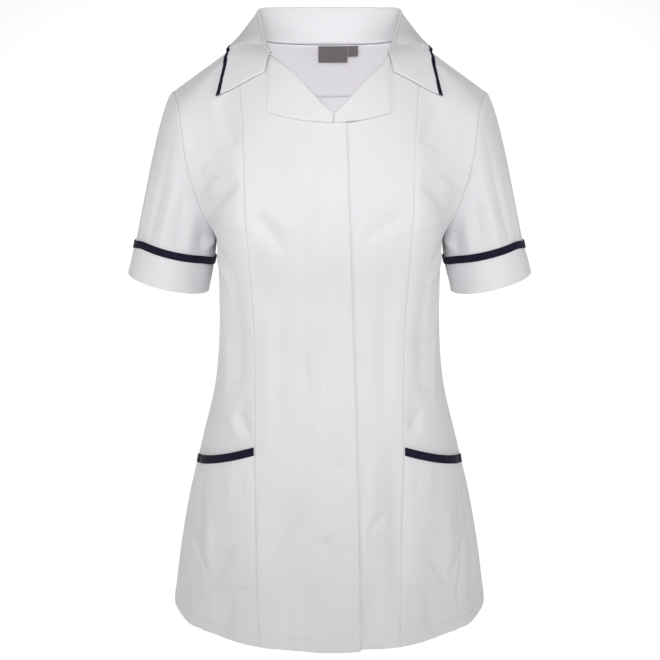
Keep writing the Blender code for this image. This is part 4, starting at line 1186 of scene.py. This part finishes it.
def cuff_lines(share, in_front):
    """The band's ring, the sleeve's hem, the way out of the cuff and its mean length."""
    level = band_ring(share, in_front, BAND_CENTRE, BAND_RADII)
    band = band_ring(share, in_front, BAND_CENTRE, BAND_RADII, band_rise(share, in_front))
    hem = band_ring(share, in_front, CUFF_CENTRE, CUFF_RADII)
    return band, hem, unit(level - BAND_CENTRE), np.linalg.norm(hem - band, axis=1).mean()


def cuff_rings(down, share, in_front):
    """Rings of the turned-up cuff at distances down from the band."""
    band, hem, radial, length = cuff_lines(share, in_front)
    run = (down / length)[:, None, None]
    return lerp(band, hem, run) + radial * CUFF_SWELL * np.sin(math.pi * np.clip(run, 0, 0.5))


def cuff_sway(turn, side_sign):
    """How the cuff swings in and out round the arm."""
    return CUFF_SWAY * np.sin(3 * math.pi * turn + 0.8 * side_sign)


class TUNIC_OT_sleeves(bpy.types.Operator):
    """Adds the short sleeves, their turned-up cuffs and the bands round them."""

    bl_idname = "tunic.sleeves"
    bl_label = "Sleeves and cuffs"

    def execute(self, context):
        share, in_front = sleeve_shares()
        turn = np.where(in_front, share, -share)
        band, hem, radial, full = cuff_lines(share, in_front)
        runs = edged(52, 0.15)
        rings = sleeve_rings(runs, share, in_front)
        normals = grid_normals(rings, ring=True)
        normals = normals * np.sign(np.sum(normals[-1] * radial))
        creases = crease_out(rings, crease_lines(SLEEVE_CREASES, sleeve_surface))
        rings = rings + normals * (creases * smoothstep(0, 0.12, runs)[:, None])[..., None]
        down = np.concatenate([EDGE_STEPS + SEAM_GAP, np.linspace(CUFF_HEM, CUFF_LENGTH, 17)])
        down = np.concatenate([down[down < full - EDGE_ZONE], full - EDGE_STEPS[::-1]])
        cuff = cuff_rings(down, share, in_front)
        around = length_along(cuff, 1, ring=True)[:-1]
        near = np.minimum(down, full - down)[:, None] + 0 * share
        relief = hem_relief((full - down)[:, None], around, CUFF_HEM)
        steps = (edged(7, BAND_WIDTH) - BAND_OVER) * BAND_WIDTH
        strip = band + unit(hem - band) * steps[:, None, None]
        rest = CUFF_BAND_REST + BRAID_WAVE * np.sin(around / CUFF_BAND_RIPPLE)
        for word, side_sign in SIDES:
            lift = rolled(length_along(rings, 0))[:, None]
            tube("sleeve_" + word, rings, radial, lift, side_sign)
            sway = cuff_sway(turn, side_sign) * smoothstep(0.008, 0.03, down)[:, None]
            tube("cuff_" + word, cuff, radial, relief + sway, side_sign, gap=near)
            tube(
                "cuff_binding_" + word, strip, radial, rest, side_sign, name="braid_cuff_" + word,
                slot="navy_binding", thickness=BRAID, rests_on=["cloth_cuff_" + word],
            )
        return {"FINISHED"}


# Pockets


def side_station(around, height):
    """The station at which the side panel reaches a height, for one place around it."""
    stations = np.linspace(HEM, SHOULDER, 281)
    return np.interp(height, form(around, stations)[:, 2], stations)


def pocket_grid(side_sign, edges, share, up):
    """Places inside a pocket's upper and lower edge, by share, and its two ends, by station."""
    top, foot, start, end = edges
    coarse = np.linspace(0, 1, 9)
    height = lerp(foot(coarse), top(coarse), coarse[:, None])
    rough = station_of(height)
    around = lerp(start(rough), end(rough), coarse)
    station = np.vectorize(side_station)(around, height)

    def finer(values):
        wide = np.array([np.interp(share, coarse, line) for line in values])
        return np.array([np.interp(up, coarse, line) for line in wide.T]).T

    return side_sign * finer(around), finer(station)


def hip_puff(share, up):
    """How far the bag of a hip pocket stands off its panel."""
    return POCKET_PUFF * np.sin(math.pi * share) ** 0.8 * np.sin(math.pi * lerp(*PUFF_SPAN, up))


def hip_mouth(share):
    return lerp(*HIP_MOUTH, share) - HIP_MOUTH_SAG * np.sin(math.pi * share)


def hip_top(share):
    return hip_mouth(share) - POCKET_BAND - SEAM_GAP


def band_foot(share):
    return hip_mouth(share) - POCKET_BAND - 0.0007


def hip_foot(share):
    return lerp(*HIP_FOOT, share)


def chest_mouth(share):
    return lerp(*CHEST_MOUTH, share**1.7)


def chest_foot(share):
    return lerp(*CHEST_FOOT, share)


def inner_end(station):
    return 1 + POCKET_INSET + 0 * station


def hip_outer(station):
    return seam_around(station) - POCKET_INSET


def chest_outer(station):
    return CHEST_OUTER - CHEST_TAPER * smoothstep(9.6, 8.0, station)


HIP_POCKET = (hip_top, hip_foot, inner_end, hip_outer)
HIP_BAND = (hip_mouth, band_foot, inner_end, hip_outer)
CHEST_POCKET = (chest_mouth, chest_foot, inner_end, chest_outer)


class TUNIC_OT_hip_pockets(bpy.types.Operator):
    """Adds the hip pockets and the navy bands along their mouths."""

    bl_idname = "tunic.hip_pockets"
    bl_label = "Hip pockets"

    def execute(self, context):
        share, up = edged(40, 0.115), edged(56, 0.15)
        for word, side_sign in SIDES:
            points, normals = draped(*pocket_grid(side_sign, HIP_POCKET, share, up))
            foot = smoothstep(0, 0.009, length_along(points, 0))[:, None]
            rest = lerp(*HIP_REST, foot) + hip_puff(share, up[:, None])
            rest = rest + HIP_FALL * smoothstep(0, FALL_WIDTH, edge_gap(points))
            under = ["cloth_front_side_" + word]
            sew("hip_pocket_" + word, points, normals, rest, rests_on=under)
            band = pocket_grid(side_sign, HIP_BAND, share, edged(7, POCKET_BAND))
            points, normals = draped(*band)
            ripple = np.sin(length_along(points, 1) / POCKET_BAND_RIPPLE)
            rest = hip_puff(share, 1) + POCKET_BAND_REST + BRAID_WAVE * ripple
            sew(
                "pocket_binding_" + word, points, normals, rest, name="braid_pocket_" + word,
                slot="navy_binding", thickness=BRAID, rests_on=["cloth_hip_pocket_" + word],
            )
        return {"FINISHED"}


class TUNIC_OT_chest_pockets(bpy.types.Operator):
    """Adds the shaped chest pockets with their slanting mouths."""

    bl_idname = "tunic.chest_pockets"
    bl_label = "Chest pockets"

    def execute(self, context):
        for word, side_sign in SIDES:
            places = pocket_grid(side_sign, CHEST_POCKET, edged(26, 0.07), edged(34, 0.085))
            points, normals = draped(*places)
            foot = smoothstep(0, 0.010, length_along(points, 0))[:, None]
            rest = lerp(*CHEST_REST, foot)
            rest = rest + CHEST_FALL * foot * smoothstep(0, FALL_WIDTH, edge_gap(points))
            under = ["cloth_front_side_" + word]
            sew("chest_pocket_" + word, points, normals, rest, rests_on=under)
        return {"FINISHED"}


# Lapels and collar


def lapel_raise(across):
    """The lift of what lies over the raised edge of the upper front."""
    return raise_over(across) * smoothstep(*LAPEL_REST, across)


def lapel_sections(side_sign, share):
    """Rows of a lapel over its fold and out to its edge: points and the way out of the cloth."""
    curl = np.radians(np.linspace(0, 180, 9))
    angle = np.concatenate([curl, np.full(len(share), math.pi)])[:, None]
    lying = lerp(2 * ROLL_RADIUS, LAPEL_EDGE_LIFT, smoothstep(0.1, 1.0, share))
    lifts = np.concatenate([ROLL_RADIUS * (1 - np.cos(curl)), lying])
    grid, ways = [], []
    for fold, edge, seat in zip(*lapel_lines(side_sign), lapel_seat(side_sign)):
        inward = unit(fold - edge)
        over = seat + inward * (SEAM_GAP + ROLL_RADIUS * np.sin(curl))[:, None]
        flat = np.concatenate([over, lerp(over[-1], edge, share[:, None])])
        place = front_place(flat[:, 0], flat[:, 1])
        lift = lifts + lapel_raise(flat[:, 0])
        at = skin(*place, lift)
        nearby = unit(skin(*place, lift + 0.001) - at)
        reach = np.array([inward[0], 0, inward[1]])
        grid.append(at)
        ways.append(unit(-nearby * np.cos(angle) + reach * np.sin(angle)))
    return np.array(grid), np.array(ways)


class TUNIC_OT_lapels(bpy.types.Operator):
    """Adds the turned-back lapels."""

    bl_idname = "tunic.lapels"
    bl_label = "Lapels"

    def execute(self, context):
        for word, side_sign in SIDES:
            points, normals = lapel_sections(side_sign, edged(18, 0.05, first=False)[1:])
            across = length_along(points, 1)
            beside = np.minimum(across, across[-1] - across)
            lift = -LAPEL_SUNK * bump_at(beside, LAPEL_SUNK_LINE, SEW_WIDTH)
            under = ["cloth_front_centre_" + word]
            sew("lapel_" + word, points, normals, lift, held="folded", rests_on=under)
        return {"FINISHED"}


def rested(points, lift):
    """Moves points out of the form until they lie at least lift from its middle."""
    around, station = np.meshgrid(np.linspace(0, 4, 161), np.linspace(9, SHOULDER, 61))
    base = skin(around, station).reshape(-1, 3)
    normals = unit(skin(around, station, 0.01).reshape(-1, 3) - base)
    flat = points.reshape(-1, 3).copy()
    flip = np.where(flat[:, 0] < 0, -1.0, 1.0)
    flat[:, 0] *= flip
    for _ in range(3):
        for index, point in enumerate(flat):
            nearest = np.argmin(np.sum((base - point) ** 2, axis=1))
            depth = np.dot(point - base[nearest], normals[nearest])
            if depth < lift:
                flat[index] = point + normals[nearest] * (lift - depth)
    flat[:, 0] *= flip
    return flat.reshape(points.shape)


def neck_places(share):
    """The neck seam from the centre back (0) over the shoulder to the lapel (1)."""
    corner = NECK_ACROSS / BACK("blade_x", SHOULDER)
    back_around = 4 - corner * np.minimum(share / SHOULDER_SHARE, 1)
    seat_around, seat_station = front_place(*lapel_seat(1)[-1])
    front_corner = NECK_ACROSS / FRONT("princess_x", SHOULDER)
    ahead = np.clip((share - SHOULDER_SHARE) / (1 - SHOULDER_SHARE), 0, 1)
    in_front = share > SHOULDER_SHARE
    around = np.where(in_front, lerp(front_corner, seat_around, ahead), back_around)
    return around, np.where(in_front, lerp(SHOULDER, seat_station, ahead), SHOULDER)


def columns_at(where, places, values):
    """The columns of a table of values, read at other places."""
    return np.stack([np.interp(where, places, column) for column in values.T], axis=1)


def collar_foot(share):
    """The foot of the collar's stand, the way into the neck opening and the way off the cloth."""
    coarse = np.concatenate([np.linspace(0, SHOULDER_SHARE, 9), np.linspace(0.6, 0.956, 7)[1:]])
    around, station = neck_places(coarse)
    outward = unit(skin(around, station, 1.0) - skin(around, station))
    inward = unit(np.cross(np.gradient(form(around, station), axis=0), outward))
    inward = unit(columns_at(share, coarse, inward))
    foot = form(*neck_places(share)) + inward * STAND_GAP
    return foot, inward, unit(columns_at(share, coarse, outward))


LEAF_SHARES = np.append(np.linspace(0.03, GORGE_SHARE, 7), np.linspace(GORGE_SHARE, 1, 19)[1:])


def collar_profile():
    """Sections of the collar on the wearer's left, from the centre back to the notch."""
    over_back = np.linspace(0, SHOULDER_SHARE, 41)
    over_front = np.linspace(SHOULDER_SHARE, 1 - GORGE_GAP, 37)
    share = np.concatenate([over_back, over_front[1:]])
    step = share / share[-1] * (len(COLLAR.rows) - 1)
    edge = stacked(*(COLLAR("edge_" + axis, step) for axis in "xyz"))
    fold = stacked(*(COLLAR("fold_" + axis, step) for axis in "xyz"))
    foot, inward, outward = collar_foot(share)
    at_front = smoothstep(0.66, 0.97, share)[:, None]
    fold = lerp(fold, foot + inward * (FOLD_RADIUS + REST_GAP), at_front)
    up = unit(fold - foot)
    away = lerp(unit(edge - fold), outward, at_front)
    turn = unit(away - up * np.sum(away * up, axis=1, keepdims=True))
    stand_top = fold - up * FOLD_RADIUS
    sections = [lerp(foot, stand_top, part) for part in np.linspace(0, 1, 9)]
    for angle in np.radians(np.linspace(0, 180, 11)[1:]):
        over = FOLD_RADIUS * (1 - math.cos(angle))
        sections.append(stand_top + turn * over + up * FOLD_RADIUS * math.sin(angle))
    leaf_top = sections[-1]
    bent_weight = smoothstep(0.80, 1.0, share)[:, None]
    bow_weight = smoothstep(0.85, 0.55, share)[:, None]
    for t in LEAF_SHARES:
        plain = lerp(leaf_top, edge, t) + turn * LEAF_BOW * math.sin(math.pi * t) * bow_weight
        if t <= GORGE_SHARE:
            bent = lerp(leaf_top[-1], np.array(NOTCH), t / GORGE_SHARE)
        else:
            bent = lerp(np.array(NOTCH), edge[-1], (t - GORGE_SHARE) / (1 - GORGE_SHARE))
        sections.append(plain + bent_weight * (bent - lerp(leaf_top[-1], edge[-1], t)))
    return np.array(sections)


def collar_sections():
    """The whole collar from notch to notch, out to the edge of its binding."""
    profile = collar_profile()
    leaf_rows = len(LEAF_SHARES)
    profile[-leaf_rows:] = rested(profile[-leaf_rows:], LEAF_REST)
    return np.concatenate([mirrored(profile[:, :0:-1], -1), profile], axis=1)


def collar_normals(points):
    """The way out of the collar, which faces forward on its stand."""
    normals = grid_normals(points)
    return -normals if normals[0, points.shape[1] // 2, 1] > 0 else normals


class TUNIC_OT_collar(bpy.types.Operator):
    """Adds the collar and the navy edging along it."""

    bl_idname = "tunic.collar"
    bl_label = "Collar"

    def execute(self, context):
        whole = collar_sections()
        back_step = unit(whole[-1] - whole[-2])
        leaf_end = whole[-1] - back_step * (COLLAR_BINDING_WIDTH - COLLAR_UNDER)
        leaf = np.concatenate([whole[:-1], leaf_end[None]])
        normals = collar_normals(leaf)
        sew("collar", leaf, normals, 0, held="folded", rests_on=["cloth_back"])
        steps = lerp(-COLLAR_BINDING_WIDTH, COLLAR_WRAP, edged(5, COLLAR_BINDING_WIDTH))
        strip = whole[-1] + back_step * steps[:, None, None]
        ways = np.repeat(normals[-1:], len(steps), axis=0)
        sew(
            "collar_binding", strip, ways, 0, name="braid_collar", slot="navy_binding",
            thickness=COLLAR_BRAID, held="folded", rests_on=["cloth_collar"],
        )
        return {"FINISHED"}


class TUNIC_OT_neck(bpy.types.Operator):
    """Adds the back neck facing and the bare woven labels on it."""

    bl_idname = "tunic.neck"
    bl_label = "Neck facing and labels"

    def execute(self, context):
        rows = np.linspace(11.0, FACING_TOP_STATION, 36)
        half = np.linspace(4 - NECK_ACROSS / BACK("blade_x", SHOULDER), 4.0, 34)[1:]
        around, station = np.meshgrid(np.concatenate([half, -half[-2::-1]]), rows)
        points, normals = draped(around, station)
        climb = unit(points[-1] - points[-3])
        points = np.concatenate([points, points[-1] + climb * FACING_STEPS[:, None, None]])
        normals = np.concatenate([normals, np.repeat(normals[-1:], len(FACING_STEPS), axis=0)])
        up = length_along(points, 0)[:, None]
        lift = lerp(-SHEET - 0.0001, -LAY, smoothstep(0.0, 0.007, up))
        lift = lerp(FACING_EDGE_LIFT, lift, smoothstep(0.0, 0.006, up[-1] - up))
        under = ["cloth_back"]
        sew("back_neck_facing", points, normals, lift, name="cloth_neck_facing", rests_on=under)
        self.add_label("label_main", *MAIN_LABEL)
        self.add_label("label_size", *SIZE_LABEL)
        return {"FINISHED"}

    def add_label(self, solid, left, right, drop):
        across = lerp(left, right, edged(12, right - left))
        places = np.linspace(3.3, 4.0, 141)
        lift = -(LAY + CLOTH / 2 + REST_GAP + LABEL_CLOTH / 2)
        line = skin(places, FACING_TOP_STATION, lift)
        around = np.interp(-np.abs(across), -line[:, 0], places)
        top = skin(around * np.where(across < 0, -1, 1), FACING_TOP_STATION, lift)
        falls = (drop + LABEL_RAISE) * (1 - edged(12, drop)) - LABEL_RAISE
        grid = top + LABEL_SLOPE * falls[:, None, None]
        normals = np.zeros_like(grid) + np.array([0.0, 1.0, 0.0])
        wave = LABEL_WAVE * np.sin(across / 0.004)
        sew(
            solid, grid, normals, wave, name="woven_" + solid, slot="grey_label",
            thickness=LABEL_SHEET, rests_on=["cloth_neck_facing"],
        )


# Stitching

# Rings of one stitch: its share of the length, and its share of the thickness
STITCH_RINGS = ((0.0, 0.25), (0.2, 1.0), (0.8, 1.0), (1.0, 0.25))
STITCH_SIDES = 5
STITCH_SPAN = (0.12, 0.88)

# Where lines of stitching run: the height of the lowest station, the distance from the opening,
# and the place around the form beside the armhole
LOWEST_STATION = 0.0715
OPENING_STITCH = 0.034
ARMHOLE_STITCH = 1.965


def stitch_points(path, ways, length, thickness):
    """Small capsules laid end to end along a path, as rows of their points."""
    steps = np.linalg.norm(np.diff(path, axis=0), axis=1)
    place = np.concatenate([[0.0], np.cumsum(steps)])
    count = max(int(place[-1] / length), 1)
    starts, ends = ((np.arange(count) + part) * place[-1] / count for part in STITCH_SPAN)
    first, second = columns_at(starts, place, path), columns_at(ends, place, path)
    way = unit(columns_at((starts + ends) / 2, place, ways))
    beside = unit(np.cross(unit(second - first), way))
    points = []
    for share, wide in STITCH_RINGS:
        for turn in range(STITCH_SIDES):
            angle = 2 * math.pi * turn / STITCH_SIDES
            ring = beside * math.cos(angle) + way * math.sin(angle)
            points.append(lerp(first, second, share) + ring * thickness / 2 * wide)
    return np.stack(points, axis=1)


def stitch_faces():
    """The faces of one capsule: rings of four-sided faces and two caps."""
    faces = []
    for low in range(0, (len(STITCH_RINGS) - 1) * STITCH_SIDES, STITCH_SIDES):
        for turn in range(STITCH_SIDES):
            one, two = low + turn, low + (turn + 1) % STITCH_SIDES
            faces.append([one, two, two + STITCH_SIDES, one + STITCH_SIDES])
    last = (len(STITCH_RINGS) - 1) * STITCH_SIDES
    return faces + [list(range(STITCH_SIDES))[::-1], list(range(last, last + STITCH_SIDES))]


def add_stitches(name, paths):
    """One mesh of stitches along several paths; a path is (points, ways out of the cloth)."""
    length, thickness = sizes().stitch_length, sizes().thread
    points = np.concatenate([stitch_points(*path, length, thickness) for path in paths])
    starts = range(0, points.shape[0] * points.shape[1], points.shape[1])
    capsule = stitch_faces()
    faces = [[corner + start for corner in face] for start in starts for face in capsule]
    mesh = bpy.data.meshes.new(name)
    mesh.from_pydata(points.reshape(-1, 3).tolist(), [], faces)
    mesh.update()
    new_piece(name, mesh, woven_material("thread"))


def body_path(around, station, lift):
    """A path on the creased cloth, lifted to the top of the layers that it sews."""
    points, normals = draped(around, station)
    return points + normals * np.broadcast_to(lift, np.shape(around))[..., None], normals


def edge_path(points, ways, first, second, count=160):
    """A path over a grid of points, given as rows and columns that it passes."""
    rows, columns = points.shape[:2]
    t = np.linspace(0, 1, count)
    row = lerp(*first, t) * (rows - 1)
    column = lerp(*second, t) * (columns - 1)
    low_row = np.minimum(row.astype(int), rows - 2)
    low_column = np.minimum(column.astype(int), columns - 2)
    up, over = (row - low_row)[:, None], (column - low_column)[:, None]

    def at(values):
        near = lerp(values[low_row, low_column], values[low_row, low_column + 1], over)
        far = lerp(values[low_row + 1, low_column], values[low_row + 1, low_column + 1], over)
        return lerp(near, far, up)

    return at(points), unit(at(ways))


class TUNIC_OT_body_stitches(bpy.types.Operator):
    """Adds the stitching of the hem, the vents, the front edge and the armholes."""

    bl_idname = "tunic.body_stitches"
    bl_label = "Body stitching"

    def execute(self, context):
        hem = HEM_TURN / LOWEST_STATION
        outer = float(seam_around(np.array(hem))) - 0.01
        rise = np.linspace(0.02, 0.62, 40)
        rows = np.linspace(7.1, 13.9, 90)
        paths = []
        for side_sign in (-1, 1):
            inner = opening_across(FRONT.rows[0, 1] + HEM_TURN) - (0 if side_sign < 0 else OVERLAP)
            inner = side_sign * inner / FRONT("princess_x", hem)
            for first, last in ((inner, 0.99), (1.01, outer), (outer + 0.03, 3.999)):
                around = side_sign * np.linspace(first, last, 90)
                lift = THREAD_LIFT + raise_over(around * FRONT("princess_x", HEM)) * (side_sign < 0)
                paths.append(body_path(around, np.full(90, hem), lift))
            for step in (-1, 1):
                place = seam_around(rise) + step * (0.1 + vent(rise))
                paths.append(body_path(side_sign * place, rise, THREAD_LIFT))
            paths.append(body_path(np.full(90, side_sign * ARMHOLE_STITCH), rows, THREAD_LIFT))
        rows = np.linspace(0.02, 10.1, 300)
        across = opening_across(FRONT("princess_z", rows)) - OPENING_STITCH
        around = across / FRONT("princess_x", rows)
        paths.append(body_path(around, rows, THREAD_LIFT + raise_over(across)))
        add_stitches("stitches_body", paths)
        return {"FINISHED"}


# Lines of stitching on a pocket: rows and columns at which each starts and ends
HIP_SEAMS = (
    ((0.02, 0.02), (0.01, 0.985)),
    ((0.02, 0.99), (0.982, 0.982)),
    ((0.988, 0.988), (0.01, 0.99)),
)
CHEST_SEAMS = (
    ((0.03, 0.03), (0.01, 0.97)),
    ((0.03, 0.99), (0.97, 0.97)),
    ((0.97, 0.97), (0.01, 0.98)),
    ((0.84, 0.84), (0.01, 0.98)),
)


class TUNIC_OT_pocket_stitches(bpy.types.Operator):
    """Adds the stitching round the hip and chest pockets."""

    bl_idname = "tunic.pocket_stitches"
    bl_label = "Pocket stitching"

    def execute(self, context):
        share = np.linspace(0, 1, 40)
        puff = hip_puff(share, share[:, None])
        hip = HIP_POCKET, 0.0011 + puff, HIP_SEAMS
        chest = CHEST_POCKET, 0.0010 + 0 * puff, CHEST_SEAMS
        paths = []
        for side_sign in (-1, 1):
            for edges, rest, seams in (hip, chest):
                points, normals = draped(*pocket_grid(side_sign, edges, share, share))
                points = points + normals * (rest + SHEET / 2)[..., None]
                paths += [edge_path(points, normals, *seam) for seam in seams]
        add_stitches("stitches_pockets", paths)
        return {"FINISHED"}


class TUNIC_OT_sleeve_stitches(bpy.types.Operator):
    """Adds the stitching of the sleeve hems."""

    bl_idname = "tunic.sleeve_stitches"
    bl_label = "Sleeve stitching"

    def execute(self, context):
        share, in_front = sleeve_shares()
        turn = np.where(in_front, share, -share)
        radial, full = cuff_lines(share, in_front)[2:]
        ring = cuff_rings(np.array([full - CUFF_HEM]), share, in_front)[0]
        paths = []
        for side_sign in (-1, 1):
            lifted = ring + radial * (THREAD_LIFT + cuff_sway(turn, side_sign))[:, None]
            path = (np.concatenate([each, each[:1]]) for each in (lifted, radial))
            paths.append([mirrored(each, side_sign) for each in path])
        add_stitches("stitches_sleeves", paths)
        return {"FINISHED"}


class TUNIC_OT_neck_stitches(bpy.types.Operator):
    """Adds the stitching along the lapels and the collar's leaf."""

    bl_idname = "tunic.neck_stitches"
    bl_label = "Neck stitching"

    def execute(self, context):
        paths = []
        for side_sign in (-1, 1):
            points, ways = lapel_sections(side_sign, np.linspace(0.02, 1, 40))
            across = length_along(points, 1)
            near = np.interp(across[-1] - LAPEL_STITCH, across, np.linspace(0, 1, len(across)))
            paths.append(edge_path(points + ways * THREAD_LIFT, ways, (0.08, 0.98), (near, near)))
        whole = collar_sections()
        normals = collar_normals(whole)
        down = length_along(whole, 0)
        line = down[-1] - COLLAR_BINDING_WIDTH - COLLAR_STITCH
        near = np.interp(line, down, np.linspace(0, 1, len(down)))
        leaf = whole + normals * THREAD_LIFT
        paths.append(edge_path(leaf, normals, (near, near), (0, 1), 420))
        add_stitches("stitches_neck", paths)
        return {"FINISHED"}


# Stage

SPOTS = (
    # name, place, aim, width of the beam in degrees, power
    ("key", (-0.12, -2.0, 0.6), (0, 0, -0.22), 46, 81),
    ("sleeve_fill_right", (-1.3, -1.3, 0.35), (-0.2, 0, -0.17), 30, 5),
    ("sleeve_fill_left", (1.3, -1.3, 0.35), (0.2, 0, -0.17), 30, 9),
)
DISKS = (
    # name, place, diameter, power; all are turned towards DISK_AIM
    ("key_soft", (-0.12, -2.0, 0.5), 0.8, 4),
    ("fill_right", (-1.8, -1.3, 0.5), 1.0, 11.5),
    ("fill_left", (1.8, -1.3, 0.5), 1.0, 12.5),
    ("back", (0, 2.2, 1.2), 1.2, 4),
)
DISK_AIM = (0, 0, -0.35)
CAMERA_PLACE = (0.0008, -1.6, 0.025)
CAMERA_PITCH = math.radians(-13.45)
CAMERA_LENS = 70.745
FLOOR_HEIGHT = -1.32
FLOOR_START = 0.001
FLOOR_RADIUS = 3.6
FLOOR_BEND = 0.9
FLOOR_TOPS = (0.6, 1.6, 2.6)


def place_light(name, kind, power, place, aim, **settings):
    """Adds a light at a place, turned towards its aim."""
    light = bpy.data.lights.new(name, kind)
    light.energy = power
    for setting, value in settings.items():
        setattr(light, setting, value)
    holder = bpy.data.objects.new(name, light)
    bpy.context.scene.collection.objects.link(holder)
    holder.location = place
    if aim:
        x, y, z = np.array(aim) - np.array(place)
        tilt = math.atan2(math.hypot(x, y), -z)
        holder.rotation_euler = (tilt, 0, math.atan2(y, x) - math.pi / 2)
    holder.visible_camera = False


class TUNIC_OT_stage(bpy.types.Operator):
    """Adds the pale floor with its curved backdrop, the soft lights and the camera."""

    bl_idname = "tunic.stage"
    bl_label = "Stage"

    def execute(self, context):
        self.add_floor()
        for name, place, aim, angle, power in SPOTS:
            beam = {"spot_size": math.radians(angle), "spot_blend": 1.0, "shadow_soft_size": 0.4}
            place_light(name, "SPOT", power, place, aim, **beam)
        for name, place, size, power in DISKS:
            place_light(name, "AREA", power, place, DISK_AIM, shape="DISK", size=size)
        place_light("neck_fill", "POINT", 0.155, (0, -0.03, -0.11), None, shadow_soft_size=0.03)
        world = bpy.data.worlds.new("studio_world")
        world.use_nodes = True
        background = world.node_tree.nodes["Background"].inputs
        background["Color"].default_value = (0.98, 0.985, 1.0, 1)
        background["Strength"].default_value = 0.02
        context.scene.world = world
        context.scene.view_settings.view_transform = "Standard"
        camera = bpy.data.cameras.new("photo_camera")
        camera.sensor_width = 36
        camera.lens = CAMERA_LENS
        camera.clip_start = 0.05
        holder = bpy.data.objects.new("photo_camera", camera)
        context.scene.collection.objects.link(holder)
        holder.location = CAMERA_PLACE
        holder.rotation_euler = (math.pi / 2 + CAMERA_PITCH, 0, 0)
        context.scene.camera = holder
        return {"FINISHED"}

    def add_floor(self):
        """A round floor that bends up into a wall, with a matt, faintly glowing finish."""
        bpy.ops.object.select_all(action="DESELECT")
        bpy.ops.mesh.primitive_circle_add(vertices=96, radius=FLOOR_START, location=(0, 0, FLOOR_HEIGHT))
        floor = bpy.context.active_object
        floor.name = "studio_floor"
        bpy.ops.object.mode_set(mode="EDIT")
        bpy.ops.mesh.select_all(action="SELECT")
        radius, height = FLOOR_START, FLOOR_HEIGHT
        for next_radius, next_height in self.profile():
            scale, rise = next_radius / radius, next_height - height
            bpy.ops.mesh.extrude_region_move(TRANSFORM_OT_translate={"value": (0, 0, rise)})
            bpy.ops.transform.resize(value=(scale, scale, 1))
            radius, height = next_radius, next_height
        bpy.ops.object.mode_set(mode="OBJECT")
        bpy.ops.object.transform_apply(location=True, rotation=True, scale=True)
        bpy.ops.object.select_all(action="DESELECT")
        floor.data.shade_smooth()
        material, tree, shader = new_material("studio_floor")
        shader["Base Color"].default_value = (*colours().floor, 1)
        shader["Roughness"].default_value = 0.9
        # Painted light: the floor glows white, most brightly near a point behind the garment and less
        # farther away
        shader["Emission Color"].default_value = (1, 1, 1, 1)
        place = node(tree, "TexCoord", {})["Object"]
        away = {"operation": "DISTANCE", 0: place, 1: (0, 2.4, -0.8)}
        glow = {"From Min": 2.1, "From Max": 3.8, "To Min": 0.85, "To Max": 0.16}
        glow["Value"] = node(tree, "VectorMath", away)["Value"]
        tree.links.new(node(tree, "MapRange", glow)["Result"], shader["Emission Strength"])
        floor.data.materials.append(material)
        return floor

    def profile(self):
        """Radius and height of the rings of the floor, its bend and its wall."""
        bend = [
            (FLOOR_RADIUS + FLOOR_BEND * math.sin(a), FLOOR_HEIGHT + FLOOR_BEND * (1 - math.cos(a)))
            for a in np.radians(np.arange(10, 91, 10))
        ]
        flat = [(radius, FLOOR_HEIGHT) for radius in (0.8, 2.0, FLOOR_RADIUS)]
        return flat + bend + [(FLOOR_RADIUS + FLOOR_BEND, top) for top in FLOOR_TOPS]


class TUNIC_PT_panel(bpy.types.Panel):
    """Lists the sizes, the colours and the pieces."""

    bl_idname = "TUNIC_PT_panel"
    bl_label = "Medical tunic"
    bl_space_type = "VIEW_3D"
    bl_region_type = "UI"
    bl_category = "Tunic"

    def draw(self, context):
        for group in (sizes(), colours()):
            box = self.layout.box()
            for name in group.__annotations__:
                box.prop(group, name)
        for operator in OPERATORS:
            self.layout.operator(operator.bl_idname)


OPERATORS = (
    TUNIC_OT_back,
    TUNIC_OT_centre_fronts,
    TUNIC_OT_side_fronts,
    TUNIC_OT_sleeves,
    TUNIC_OT_hip_pockets,
    TUNIC_OT_chest_pockets,
    TUNIC_OT_lapels,
    TUNIC_OT_collar,
    TUNIC_OT_neck,
    TUNIC_OT_body_stitches,
    TUNIC_OT_pocket_stitches,
    TUNIC_OT_sleeve_stitches,
    TUNIC_OT_neck_stitches,
    TUNIC_OT_stage,
)
CLASSES = (TunicSizes, TunicColours, *OPERATORS, TUNIC_PT_panel)


def register():
    for each in CLASSES:
        bpy.utils.register_class(each)
    bpy.types.Scene.tunic_sizes = bpy.props.PointerProperty(type=TunicSizes)
    bpy.types.Scene.tunic_colours = bpy.props.PointerProperty(type=TunicColours)


def unregister():
    del bpy.types.Scene.tunic_colours
    del bpy.types.Scene.tunic_sizes
    for each in reversed(CLASSES):
        bpy.utils.unregister_class(each)


def main():
    register()
    for operator in OPERATORS:
        group, name = operator.bl_idname.split(".")
        getattr(getattr(bpy.ops, group), name)()


if __name__ == "__main__":
    main()
